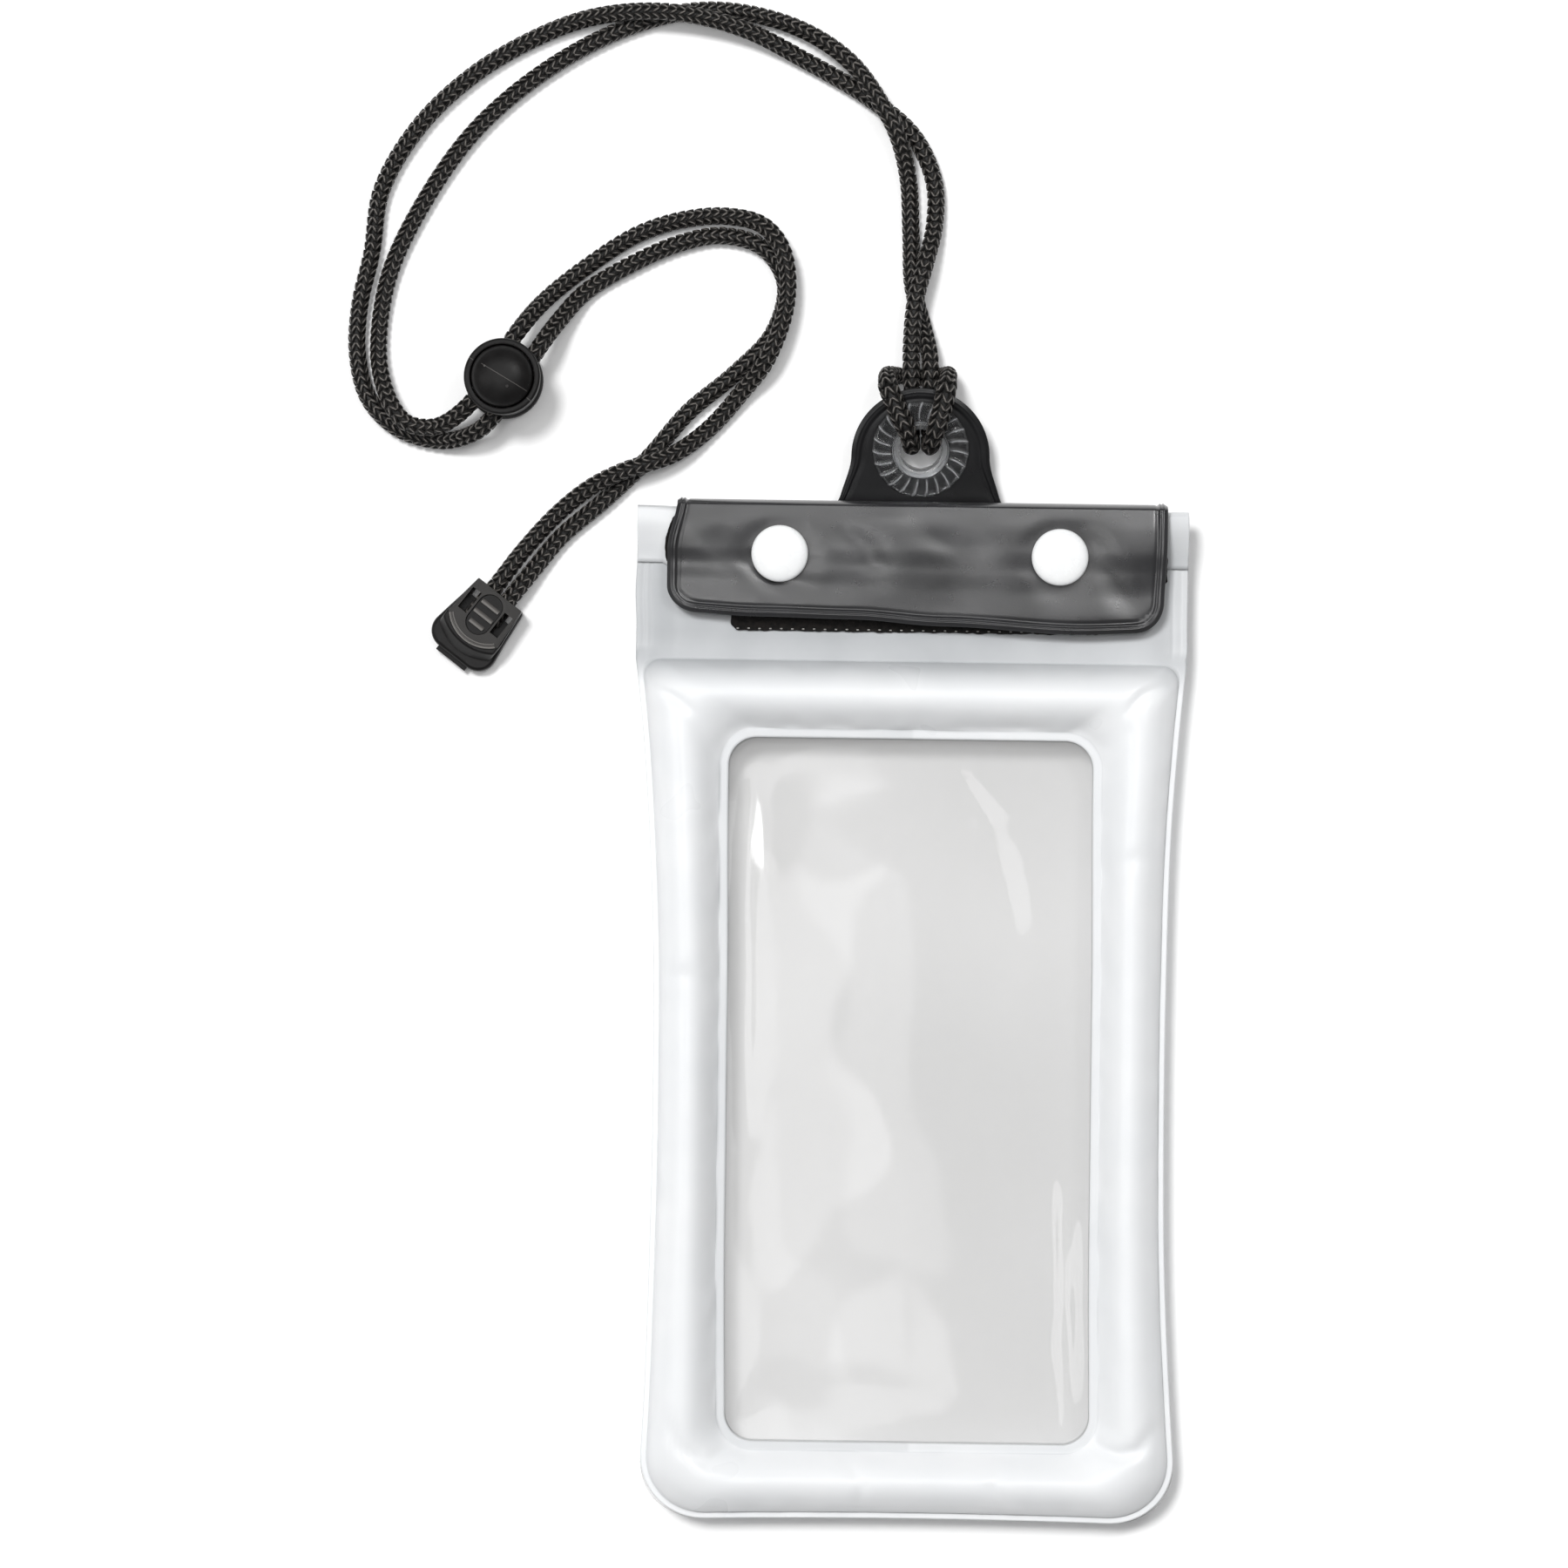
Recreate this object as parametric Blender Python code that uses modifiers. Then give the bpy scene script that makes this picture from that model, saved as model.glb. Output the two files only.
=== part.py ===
"""Floating waterproof pouch for a phone, with a hanging tab and a neck cord, lying on its back.

X runs across the pouch, Y runs up it towards the hanging tab, and Z points away from the
surface it lies on. The origin is on that surface, under the middle of the pouch and its tab.
Sizes are in metres.
"""
import math

import bmesh
import bpy
from mathutils import Matrix, Vector

mm = 0.001

# Clearance between pieces that touch
gap = 0.3 * mm

# Pouch body, seen from the front
pouch_length = 233.4 * mm
mouth_half_width = 63.2 * mm
waist_half_width = 58.7 * mm
foot_half_width = 62.2 * mm
waist_height = 99.0 * mm
corner_radius = 15.0 * mm
bottom_bow = 1.0 * mm
flange_width = 2.0 * mm
neck_length = 36.0 * mm
hem_length = 17.0 * mm

# Clear windows, front and back
window_width = 83.6 * mm
window_length = 161.4 * mm
window_margin = 18.4 * mm
window_weld = 2.0 * mm

# Walls and thickness
cushion_height = 8.5 * mm
cushion_flat = 0.35 * mm
skin_thickness = 0.4 * mm
film_thickness = 0.3 * mm
pocket_depth = 2.8 * mm
pocket_slope = 8.0 * mm
fold_flatness = 0.7

# Press-to-close strips inside the neck; each margin runs in from the mouth's side edge
zip_margin = 9.2 * mm
zip_width = 4.0 * mm
zip_offset = 8.0 * mm
zip_pitch = 8.0 * mm
zip_base = 0.5 * mm
zip_stem = 0.8 * mm
zip_wall = 0.5 * mm

# Closing flap
flap_thickness = 0.9 * mm
flap_margin = 6.6 * mm
flap_length = 27.6 * mm
flap_back_length = 24.0 * mm
flap_corner = 6.5 * mm
flap_step_start = 0.5 * mm
flap_step_length = 4.0 * mm

# Hook and loop tapes
tape_thickness = 0.8 * mm
tape_width = 13.0 * mm
tape_offset = 2.5 * mm
upper_tape_margin = 6.5 * mm
lower_tape_margin = 19.7 * mm
lower_tape_width = 8.6 * mm
lower_tape_peek = 0.6 * mm
lower_hook_inset = 1.5 * mm

# Snap fasteners
snap_pitch = 64.0 * mm
snap_drop = 11.7 * mm
cap_diameter = 13.0 * mm
cap_thickness = 1.9 * mm
cap_edge = 0.5 * mm
socket_diameter = 10.0 * mm
socket_thickness = 1.1 * mm
stud_diameter = 9.0 * mm
stud_thickness = 0.6 * mm
stud_head_diameter = 4.0 * mm
post_diameter = 2.4 * mm
post_end = 0.5 * mm
back_thickness = 0.6 * mm

# Hanging tab and its eyelet
tab_reach = 27.2 * mm
tab_thickness = 1.0 * mm
tab_tilt = math.radians(12.0)
tab_crease = 3.0 * mm
tab_top_radius = 15.9 * mm
tab_root_half_width = 18.6 * mm
tab_root_flare = 0.6 * mm
tab_crease_lap = 0.25 * mm
tab_panel_margin = 13.2 * mm
tab_panel_length = 22.0 * mm
eyelet_bore = 9.5 * mm
eyelet_wall = 0.9 * mm
eyelet_ring = 13.2 * mm
eyelet_flange = 22.4 * mm
eyelet_drop = 14.1 * mm
flange_thickness = 1.0 * mm
ring_rise = 0.6 * mm
eyelet_edge = 0.4 * mm
flange_fall = 0.1 * mm
rib_count = 24
rib_height = 0.35 * mm
lip_diameter = 13.0 * mm
lip_thickness = 0.5 * mm
washer_thickness = 0.8 * mm
washer_inset = 0.2 * mm

# Neck cord
cord_diameter = 4.0 * mm

# Cord lock: a barrel with a sprung plunger
lock_place = Vector((-96.0, 131.0, 0.0)) * mm
lock_turn = math.radians(57.3)
lock_rim_diameter = 17.8 * mm
lock_waist_diameter = 16.6 * mm
lock_height = 17.0 * mm
lock_floor = 1.2 * mm
lock_rim_height = 2.4 * mm
lock_edge = 0.6 * mm
plunger_diameter = 14.0 * mm
plunger_running_gap = 0.35 * mm
plunger_rise = 2.9 * mm
plunger_travel = 2.5 * mm
plunger_dome = 1.2 * mm
plunger_web = 1.4 * mm
cord_level = 9.5 * mm
barrel_window = 12.0 * mm
plunger_slot = 11.0 * mm
spring_diameter = 9.0 * mm
spring_wire = 0.5 * mm
spring_turns = 3

# Cord end clip
clip_place = Vector((-96.1, 81.4, 0.0)) * mm
clip_turn = math.radians(-127.6)
clip_mouth_width = 12.6 * mm
clip_tail_width = 16.4 * mm
clip_length = 18.0 * mm
clip_base_height = 4.2 * mm
clip_cover_height = 3.7 * mm
clip_cover_length = 14.2 * mm
clip_lobe = 4.2 * mm
clip_cord_level = 4.3 * mm
clip_cord_lane = 2.15 * mm
clip_cord_depth = 9.0 * mm
clip_channel_lead = 5.0 * mm
latch_width = 8.4 * mm
latch_length = 1.0 * mm
latch_height = 2.0 * mm
latch_low = 0.6 * mm
latch_root = 1.0 * mm
grip_slot_length = 5.7 * mm
grip_slot_width = 2.2 * mm
grip_slot_spread = 4.7 * mm
grip_slot_start = 2.4 * mm
grip_slot_depth = 0.8 * mm
grip_rib_count = 3
grip_rib_start = 3.2 * mm
grip_rib_pitch = 2.2 * mm
grip_rib_width = 0.6 * mm
grip_rib_length = 4.4 * mm
grip_rib_height = 0.4 * mm

# Places along Y that follow from the lengths
bottom_y = -(pouch_length + tab_reach) / 2
fold_y = bottom_y + pouch_length
chamber_top_y = fold_y - neck_length
waist_y = bottom_y + waist_height
window_low_y = bottom_y + window_margin
window_high_y = window_low_y + window_length
window_half = window_width / 2
weld_half = window_half + window_weld
middle_z = cushion_height
flap_half_width = mouth_half_width - flap_margin

# Levels above the middle plane, from the pocket out to the flap
film_level = pocket_depth / 2
skin_level = film_level + film_thickness + gap + skin_thickness
back_level = skin_level + gap + back_thickness
inner_hem_level = back_level + gap
outer_hem_level = inner_hem_level + skin_thickness + gap + skin_thickness
stud_level = outer_hem_level + gap + stud_thickness
upper_loop_level = outer_hem_level + gap + tape_thickness
upper_hook_level = upper_loop_level + gap + tape_thickness
lower_loop_level = skin_level + gap + tape_thickness
lower_hook_level = lower_loop_level + gap + tape_thickness
flap_upper_level = upper_hook_level + gap + flap_thickness
flap_lower_level = lower_hook_level + gap + flap_thickness
flap_back_level = skin_level + gap + flap_thickness
tab_level = flap_back_level + gap + tab_thickness / 2


def ease(t):
    """Smooth step from 0 to 1."""
    t = min(max(t, 0.0), 1.0)
    return t * t * (3 - 2 * t)


def stations(start, end, count):
    """Values from start to end, closer together near both ends."""
    return [start + (end - start) * (1 - math.cos(math.pi * k / count)) / 2 for k in range(count + 1)]


def even(start, end, count):
    return [start + (end - start) * k / count for k in range(count + 1)]


def make_material(name, color, roughness, alpha=1.0, metallic=0.0):
    material = bpy.data.materials.new(name)
    material.use_nodes = True
    shader = material.node_tree.nodes["Principled BSDF"]
    shader.inputs["Base Color"].default_value = (*color, 1.0)
    shader.inputs["Roughness"].default_value = roughness
    shader.inputs["Metallic"].default_value = metallic
    shader.inputs["Alpha"].default_value = alpha
    material.diffuse_color = (*color, alpha)
    return material


def start_scene():
    """Empty the scene and make the two collections."""
    for old in list(bpy.data.objects):
        bpy.data.objects.remove(old, do_unlink=True)
    made = []
    for name in ("floating_waterproof_pouch", "cutters"):
        collection = bpy.data.collections.new(name)
        bpy.context.scene.collection.children.link(collection)
        made.append(collection)
    return made


parts, cutters = start_scene()

materials = {
    "skin": make_material("pale_tpu", (0.80, 0.83, 0.86), 0.32),
    "film": make_material("clear_film", (0.86, 0.88, 0.90), 0.12, alpha=0.5),
    "pvc": make_material("black_soft_pvc", (0.035, 0.035, 0.040), 0.42),
    "tape": make_material("black_hook_and_loop", (0.012, 0.012, 0.012), 0.95),
    "clear": make_material("clear_plastic", (0.75, 0.77, 0.80), 0.08, alpha=0.5),
    "white": make_material("white_plastic", (0.90, 0.90, 0.91), 0.28),
    "cord": make_material("black_knitted_cord", (0.030, 0.025, 0.022), 0.85),
    "black": make_material("black_moulded_plastic", (0.030, 0.028, 0.028), 0.40),
    "steel": make_material("spring_steel", (0.60, 0.60, 0.62), 0.30, metallic=1.0),
}


def add_object(name, data, material, collection=None):
    obj = bpy.data.objects.new(name, data)
    (collection or parts).objects.link(obj)
    if material:
        obj.data.materials.append(materials[material])
    return obj


def sheet(name, columns, rows, place, material, thickness, front=True, opening=None):
    """A thin wall: half a grid laid out by place(column, row), mirrored across X and thickened inwards."""
    bm = bmesh.new()
    across, along = len(columns) - 1, len(rows) - 1
    bmesh.ops.create_grid(bm, x_segments=across, y_segments=along, size=1.0)
    for vert in bm.verts:
        column = round((vert.co.x + 1) / 2 * across)
        row = round((vert.co.y + 1) / 2 * along)
        vert.co = place(columns[column], rows[row])
    if opening:
        gone = [face for face in bm.faces if opening(face.calc_center_median())]
        bmesh.ops.delete(bm, geom=gone, context="FACES")
    if not front:
        bmesh.ops.reverse_faces(bm, faces=bm.faces[:])
    mesh = bpy.data.meshes.new(name)
    bm.to_mesh(mesh)
    bm.free()
    obj = add_object(name, mesh, material)
    mirror = obj.modifiers.new("both_halves", "MIRROR")
    mirror.merge_threshold = 0.00001
    wall = obj.modifiers.new("wall", "SOLIDIFY")
    wall.thickness = thickness
    wall.offset = -1.0
    mesh.shade_smooth()
    return obj


def turned(name, profile, steps, material, collection=None):
    """A turned solid from (radius, height) points that run down its outer side."""
    mesh = bpy.data.meshes.new(name)
    closed = profile[0][0] > 0 and profile[-1][0] > 0
    edges = [(k, k + 1) for k in range(len(profile) - 1)]
    if closed:
        edges.append((len(profile) - 1, 0))
    mesh.from_pydata([(r, 0.0, z) for r, z in profile], edges, [])
    obj = add_object(name, mesh, material, collection)
    turn = obj.modifiers.new("turn", "SCREW")
    turn.steps = steps
    turn.render_steps = steps
    turn.use_merge_vertices = True
    turn.merge_threshold = 0.00001
    return obj


def smooth_turn(obj):
    obj.modifiers["turn"].use_smooth_shade = True


def as_mesh(obj):
    """Swap a curve or a modified object for the mesh it evaluates to, closed and in place."""
    bpy.context.view_layer.update()
    seen = obj.evaluated_get(bpy.context.evaluated_depsgraph_get())
    mesh = bpy.data.meshes.new_from_object(seen)
    name, matrix = obj.name, obj.matrix_world.copy()
    collection = obj.users_collection[0]
    bpy.data.objects.remove(obj, do_unlink=True)
    bm = bmesh.new()
    bm.from_mesh(mesh)
    bmesh.ops.remove_doubles(bm, verts=bm.verts[:], dist=0.000001)
    bm.to_mesh(mesh)
    bm.free()
    made = bpy.data.objects.new(name, mesh)
    collection.objects.link(made)
    made.matrix_world = matrix
    return made


def plate(name, outline, low, high, material, collection=None):
    """A flat plate of the given outline, counter-clockwise, between two heights."""
    curve = bpy.data.curves.new(name, "CURVE")
    curve.dimensions = "2D"
    curve.fill_mode = "BOTH"
    curve.extrude = (high - low) / 2
    spline = curve.splines.new("POLY")
    spline.points.add(len(outline) - 1)
    for point, (x, y) in zip(spline.points, outline):
        point.co = (x, y, 0.0, 1.0)
    spline.use_cyclic_u = True
    obj = add_object(name, curve, material, collection)
    obj.location.z = (low + high) / 2
    return as_mesh(obj)


def box(name, low, high, material=None, collection=None):
    """A box between two corners."""
    bm = bmesh.new()
    bmesh.ops.create_cube(bm, size=1.0)
    low, high = Vector(low), Vector(high)
    for vert in bm.verts:
        vert.co = low + Vector([(vert.co[k] + 0.5) * (high[k] - low[k]) for k in range(3)])
    mesh = bpy.data.meshes.new(name)
    bm.to_mesh(mesh)
    bm.free()
    return add_object(name, mesh, material, collection)


def peg(name, radius, low, high, steps, collection=None):
    """A plain round peg between two heights."""
    return turned(name, [(0.0, high), (radius, high), (radius, low), (0.0, low)], steps, None, collection)


def hidden(obj):
    obj.hide_render = True
    obj.display_type = "WIRE"
    return obj


def cut(obj, cutter, operation="DIFFERENCE"):
    """Cut the cutter from obj, or join it on."""
    tool = obj.modifiers.new(cutter.name, "BOOLEAN")
    tool.operation = operation
    tool.object = hidden(cutter)
    return tool


def arc(center, radius, start, end, count):
    """Points on an arc, from one angle to the other."""
    return [
        (center[0] + radius * math.cos(a), center[1] + radius * math.sin(a))
        for a in even(start, end, count)
    ]


def side_edge(y):
    """Half the width of the pouch at y, before its lower corners are rounded."""
    if y >= chamber_top_y:
        return mouth_half_width
    if y >= waist_y:
        t = (y - waist_y) / (chamber_top_y - waist_y)
        return waist_half_width + (mouth_half_width - waist_half_width) * t**2.6
    t = (waist_y - y) / (waist_y - bottom_y)
    return waist_half_width + (foot_half_width - waist_half_width) * t**2.2


corner = min(corner_radius, foot_half_width - weld_half - flange_width)


def bowed(x, y):
    """Lift the middle of the bottom edge a little, fading out towards the window."""
    fade = 1 - ease((y - bottom_y) / (window_margin - window_weld))
    return y + bottom_bow * fade * (1 - (x / foot_half_width) ** 2)


def rounded(x, y):
    """Round the lower corner: the square of side corner goes to a quarter disc."""
    a = x - (side_edge(y) - corner)
    b = (bottom_y + corner) - y
    if a <= 0 or b <= 0:
        return x, bowed(x, y)
    u = a * math.sqrt(max(0.0, 1 - (b / corner) ** 2 / 2))
    v = b * math.sqrt(max(0.0, 1 - (a / corner) ** 2 / 2))
    x = side_edge(y) - corner + u
    return x, bowed(x, bottom_y + corner - v)


def edge_distance(x, y):
    """How far a point lies inside the outline; the mouth has no edge."""
    dx = side_edge(y) - x
    dy = y - bowed(x, bottom_y)
    if dx < corner and dy < corner:
        return corner - math.hypot(corner - dx, corner - dy)
    return min(dx, dy)


def film_height(x, y):
    """Height of the pocket's inner face over the middle plane: pinched at the flange, open inside."""
    inside = ease((edge_distance(x, y) - flange_width) / pocket_slope)
    return gap / 2 + (film_level - gap / 2) * inside


def skin_height(x, y, pressed):
    """Height of the skin's outer face: flat at the welds, swollen between them."""
    base = film_height(x, y) + skin_level - film_level
    from_edge = edge_distance(x, y) - flange_width
    from_top = chamber_top_y - y
    from_edge = min(from_edge, from_top)
    from_window = math.hypot(
        max(x - weld_half, 0.0),
        max(y - window_high_y - window_weld, window_low_y - window_weld - y, 0.0),
    )
    if from_edge <= 0 or from_window <= 0:
        return base
    t = from_edge / (from_edge + from_window)
    swell = math.sqrt(1 - (2 * t - 1) ** 2)
    crest = cushion_height + (cushion_flat if pressed else 0.0)
    return min(base + (crest - base) * swell, cushion_height)


def fold_profile(angle, low, high, center_y):
    """A point on the flattened half turn from level low to level high, over the mouth."""
    radius = (high - low) / 2
    y = center_y + fold_flatness * radius * math.sin(angle)
    return y, (low + high) / 2 - radius * math.cos(angle)


def skin_fold_center(x):
    """Where the mouth starts to turn forward, so that the outermost wall ends at the fold line."""
    low = -(film_height(x, fold_y) + skin_level - film_level)
    return fold_y - fold_flatness * (outer_hem_level - low) / 2


def body_columns():
    """Column codes: 0 to 1 to the window weld, 1 to 2 over the cushion, 3 at the edge."""
    ring = [1 + s for s in stations(0.0, 1.0, 5)[1:]]
    return [0.0, 0.5, window_half / weld_half, 1.0] + ring + [3.0]


def column_x(code, y):
    if code <= 1:
        return code * weld_half
    if code <= 2:
        return weld_half + (code - 1) * (side_edge(y) - flange_width - weld_half)
    return side_edge(y)


def body_rows():
    """Rows up the pouch, then over the fold and down the hem."""
    low_ring = stations(bottom_y + flange_width, window_low_y - window_weld, 5)
    high_ring = stations(window_high_y + window_weld, chamber_top_y, 5)
    window = even(window_low_y, window_high_y, 6)
    rows = [("body", y) for y in [bottom_y] + low_ring + window + high_ring]
    rows.append(("body", chamber_top_y + flange_width))
    rows += [("neck", s) for s in (0.5, 1.0)]
    rows += [("fold", a) for a in even(0.0, math.pi, 6)[1:]]
    rows += [("hem", s) for s in (0.5, 1.0)]
    return rows


def body_place(front):
    """Where a skin's outer face lies, for the front or the rear skin."""
    side = 1 if front else -1
    hem_level = inner_hem_level if front else outer_hem_level

    def place(code, row):
        zone, value = row
        x = column_x(code, value if zone == "body" else fold_y)
        if zone == "body":
            x, y = rounded(x, value)
            return Vector((x, y, middle_z + side * skin_height(x, y, pressed=not front)))
        level = side * (film_height(x, fold_y) + skin_level - film_level)
        turn_y = skin_fold_center(x)
        neck_start = chamber_top_y + flange_width
        if zone == "neck":
            y = neck_start + value * (turn_y - neck_start)
            return Vector((x, y, middle_z + level))
        if zone == "fold":
            y, z = fold_profile(value, level, hem_level, turn_y)
            return Vector((x, y, middle_z + z))
        y = turn_y + value * (fold_y - hem_length - turn_y)
        return Vector((x, y, middle_z + hem_level))

    return place


def in_window(point):
    return abs(point.x) < window_half and window_low_y < point.y < window_high_y


def make_skins():
    for name, front in (("front_skin", True), ("rear_skin", False)):
        sheet(name, body_columns(), body_rows(), body_place(front), "skin", skin_thickness, front, in_window)


def make_films():
    """The two clear films: windows in the middle, pocket walls under the cushions."""
    columns = [0.0, 0.5, 1.0, 1.5, 2.0, 3.0]
    ring = window_margin - window_weld
    rows = [bottom_y, bottom_y + flange_width, bottom_y + flange_width + ring / 2]
    rows += even(window_low_y, chamber_top_y, 4)
    rows.append(skin_fold_center(0.0) - gap)

    for name, side in (("front_film", 1), ("rear_film", -1)):

        def place(code, y, side=side):
            x, y = rounded(column_x(code, y), y)
            return Vector((x, y, middle_z + side * (film_height(x, y) + film_thickness)))

        sheet(name, columns, rows, place, "film", film_thickness, side > 0)


def make_zips():
    """Two press-to-close strips: a ribbed one on the front film, a grooved one on the rear."""
    half = mouth_half_width - zip_margin
    top = film_level - gap
    for k, place_name in enumerate(("lower", "upper")):
        y = chamber_top_y + zip_offset + k * zip_pitch
        rib_low = -top + zip_base + gap
        rib = [
            (y - zip_width / 2, top),
            (y - zip_width / 2, top - zip_base),
            (y - zip_stem / 2, top - zip_base),
            (y - zip_stem / 2, rib_low),
            (y + zip_stem / 2, rib_low),
            (y + zip_stem / 2, top - zip_base),
            (y + zip_width / 2, top - zip_base),
            (y + zip_width / 2, top),
        ]
        inner = zip_stem / 2 + gap
        outer = inner + zip_wall
        jaw = top - zip_base - gap
        groove = [
            (y - zip_width / 2, -top),
            (y + zip_width / 2, -top),
            (y + zip_width / 2, -top + zip_base),
            (y + outer, -top + zip_base),
            (y + outer, jaw),
            (y + inner, jaw),
            (y + inner, -top + zip_base),
            (y - inner, -top + zip_base),
            (y - inner, jaw),
            (y - outer, jaw),
            (y - outer, -top + zip_base),
            (y - zip_width / 2, -top + zip_base),
        ]
        for kind, outline in (("rib", rib), ("groove", groove)):
            strip = plate(f"zip_{kind}_{place_name}", outline, -half, half, "film")
            turn = Matrix(((0, 0, 1, 0), (1, 0, 0, 0), (0, 1, 0, middle_z), (0, 0, 0, 1)))
            strip.matrix_world = turn


def flap_half(y):
    """Half the flap's width at y, with its lower corners rounded."""
    low = fold_y - flap_length
    rise = y - low
    if rise >= flap_corner:
        return flap_half_width
    return flap_half_width - flap_corner + math.sqrt(max(0.0, flap_corner**2 - (flap_corner - rise) ** 2))


def flap_front_level(y):
    """Outer face of the flap's front leg: it steps down below the hem."""
    hem_end = fold_y - hem_length
    t = (hem_end + flap_step_start - y) / flap_step_length
    return flap_upper_level + (flap_lower_level - flap_upper_level) * ease(t)


def make_flap():
    """The closing flap: up the back of the neck, over the fold and down the front."""
    turn_y = skin_fold_center(0.0) + fold_flatness * gap
    low_y = fold_y - flap_length
    hem_end = fold_y - hem_length
    columns = [0.0, 0.4, 0.7, 0.88, 1.0]
    rows = [("back", s) for s in (0.0, 1.0)]
    rows += [("fold", a) for a in even(0.0, math.pi, 8)[1:]]
    step_rows = [hem_end + flap_step_start - s * flap_step_length for s in even(0.0, 1.0, 4)]
    corner_rows = [low_y + flap_corner * (1 - math.cos(math.pi / 2 * s)) for s in (0.65, 0.35, 0.15, 0.0)]
    rows += [("front", y) for y in step_rows + corner_rows]

    def place(code, row):
        zone, value = row
        if zone == "back":
            y = fold_y - flap_back_length + value * (turn_y - fold_y + flap_back_length)
            return Vector((code * flap_half_width, y, middle_z - flap_back_level))
        if zone == "fold":
            y, z = fold_profile(value, -flap_back_level, flap_upper_level, turn_y)
            return Vector((code * flap_half_width, y, middle_z + z))
        return Vector((code * flap_half(value), value, middle_z + flap_front_level(value)))

    flap = sheet("closure_flap", columns, rows, place, "pvc", flap_thickness, front=False)
    for x in (-snap_pitch / 2, snap_pitch / 2):
        hole = peg(f"flap_hole_{x:+.3f}", post_diameter / 2 + gap, 0.0, 3 * cushion_height, 16, cutters)
        hole.location = (x, fold_y - snap_drop, middle_z + outer_hem_level)
        cut(flap, hole)


def make_skin_holes():
    """Each snap's stud is riveted through both plies of the hem."""
    for x in (-snap_pitch / 2, snap_pitch / 2):
        hole = peg(f"hem_hole_{x:+.3f}", post_diameter / 2 + gap, skin_level + gap, stud_level, 16, cutters)
        hole.location = (x, fold_y - snap_drop, middle_z)
        for name in ("front_skin", "rear_skin"):
            cut(bpy.data.objects[name], hole)


def make_tapes():
    """Hook tape under the flap, loop tape on the hem and on the neck below it."""
    top = fold_y - tape_offset
    half = mouth_half_width - upper_tape_margin
    clear = max(cap_diameter, socket_diameter) / 2
    for name, level in (("hem_loop_tape", upper_loop_level), ("flap_hook_tape", upper_hook_level)):
        low = level - tape_thickness
        tape = box(name, (-half, top - tape_width, middle_z + low), (half, top, middle_z + level), "tape")
        for x in (-snap_pitch / 2, snap_pitch / 2):
            hole = peg(f"{name}_hole_{x:+.3f}", clear, low - gap, level + gap, 20, cutters)
            hole.location = (x, fold_y - snap_drop, middle_z)
            cut(tape, hole)
    half = mouth_half_width - lower_tape_margin
    low_y = fold_y - flap_length - lower_tape_peek
    high_y = low_y + lower_tape_width
    box("body_loop_tape", (-half, low_y, middle_z + skin_level + gap),
        (half, high_y, middle_z + lower_loop_level), "tape")
    box("flap_hook_tape_lower", (-half, low_y + lower_tape_peek + gap, middle_z + lower_loop_level + gap),
        (half, high_y - lower_hook_inset, middle_z + lower_hook_level), "tape")


def make_snaps():
    """Two snap fasteners: cap and socket on the flap, stud and its back on the hem."""
    post = post_diameter / 2
    for side, x in (("left", -snap_pitch / 2), ("right", snap_pitch / 2)):
        place = (x, fold_y - snap_drop, middle_z)
        cap = cap_diameter / 2
        cap_low = flap_upper_level + gap
        post_low = flap_upper_level - flap_thickness - gap - post_end
        dome = [(cap * math.sin(a), cap_low + cap_edge + (cap_thickness - cap_edge) * math.cos(a))
                for a in even(0.0, math.pi / 2, 5)]
        profile = dome + [(cap, cap_low), (post, cap_low), (post, post_low), (0.0, post_low)]
        piece = turned(f"snap_cap_{side}", profile, 24, "white")
        piece.location = place
        smooth_turn(piece)

        high = flap_upper_level - flap_thickness - gap
        low = high - socket_thickness
        wide, bore = socket_diameter / 2, stud_head_diameter / 2 + gap
        profile = [(bore, high), (wide, high), (wide, low), (bore, low)]
        piece = turned(f"snap_socket_{side}", profile, 20, "white")
        piece.location = place

        base = outer_hem_level + gap
        wide, head = stud_diameter / 2, stud_head_diameter / 2
        top = post_low - gap
        shank_low = back_level + gap
        profile = [(0.0, top), (head, top), (head, stud_level), (wide, stud_level), (wide, base),
                   (post, base), (post, shank_low), (0.0, shank_low)]
        piece = turned(f"snap_stud_{side}", profile, 20, "white")
        piece.location = place

        profile = [(0.0, back_level), (wide, back_level), (wide, back_level - back_thickness),
                   (0.0, back_level - back_thickness)]
        piece = turned(f"snap_back_{side}", profile, 20, "white")
        piece.location = place


def tab_outline():
    """Half of the bell-shaped tab, from its root up and round its top, then mirrored."""
    slope = math.cos(tab_tilt)
    root = 0.0
    top = (tab_reach + tab_crease) / slope
    center = top - tab_top_radius
    right = [(tab_root_half_width + tab_root_flare, root)]
    for s in even(0.0, 1.0, 5):
        y = root + tab_crease + s * (center - tab_crease)
        right.append((tab_top_radius + (tab_root_half_width - tab_top_radius) * (1 - ease(s)), y))
    right += arc((0.0, center), tab_top_radius, 0.0, math.pi / 2, 9)[1:]
    left = [(-x, y) for x, y in reversed(right[:-1])]
    return right + left


def tab_matrix():
    """The tab's own plane: Y up the tab from its crease, Z out of its front face."""
    crease = Vector((0.0, fold_y - tab_crease, middle_z - tab_level))
    return Matrix.Translation(crease) @ Matrix.Rotation(tab_tilt, 4, "X")


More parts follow.
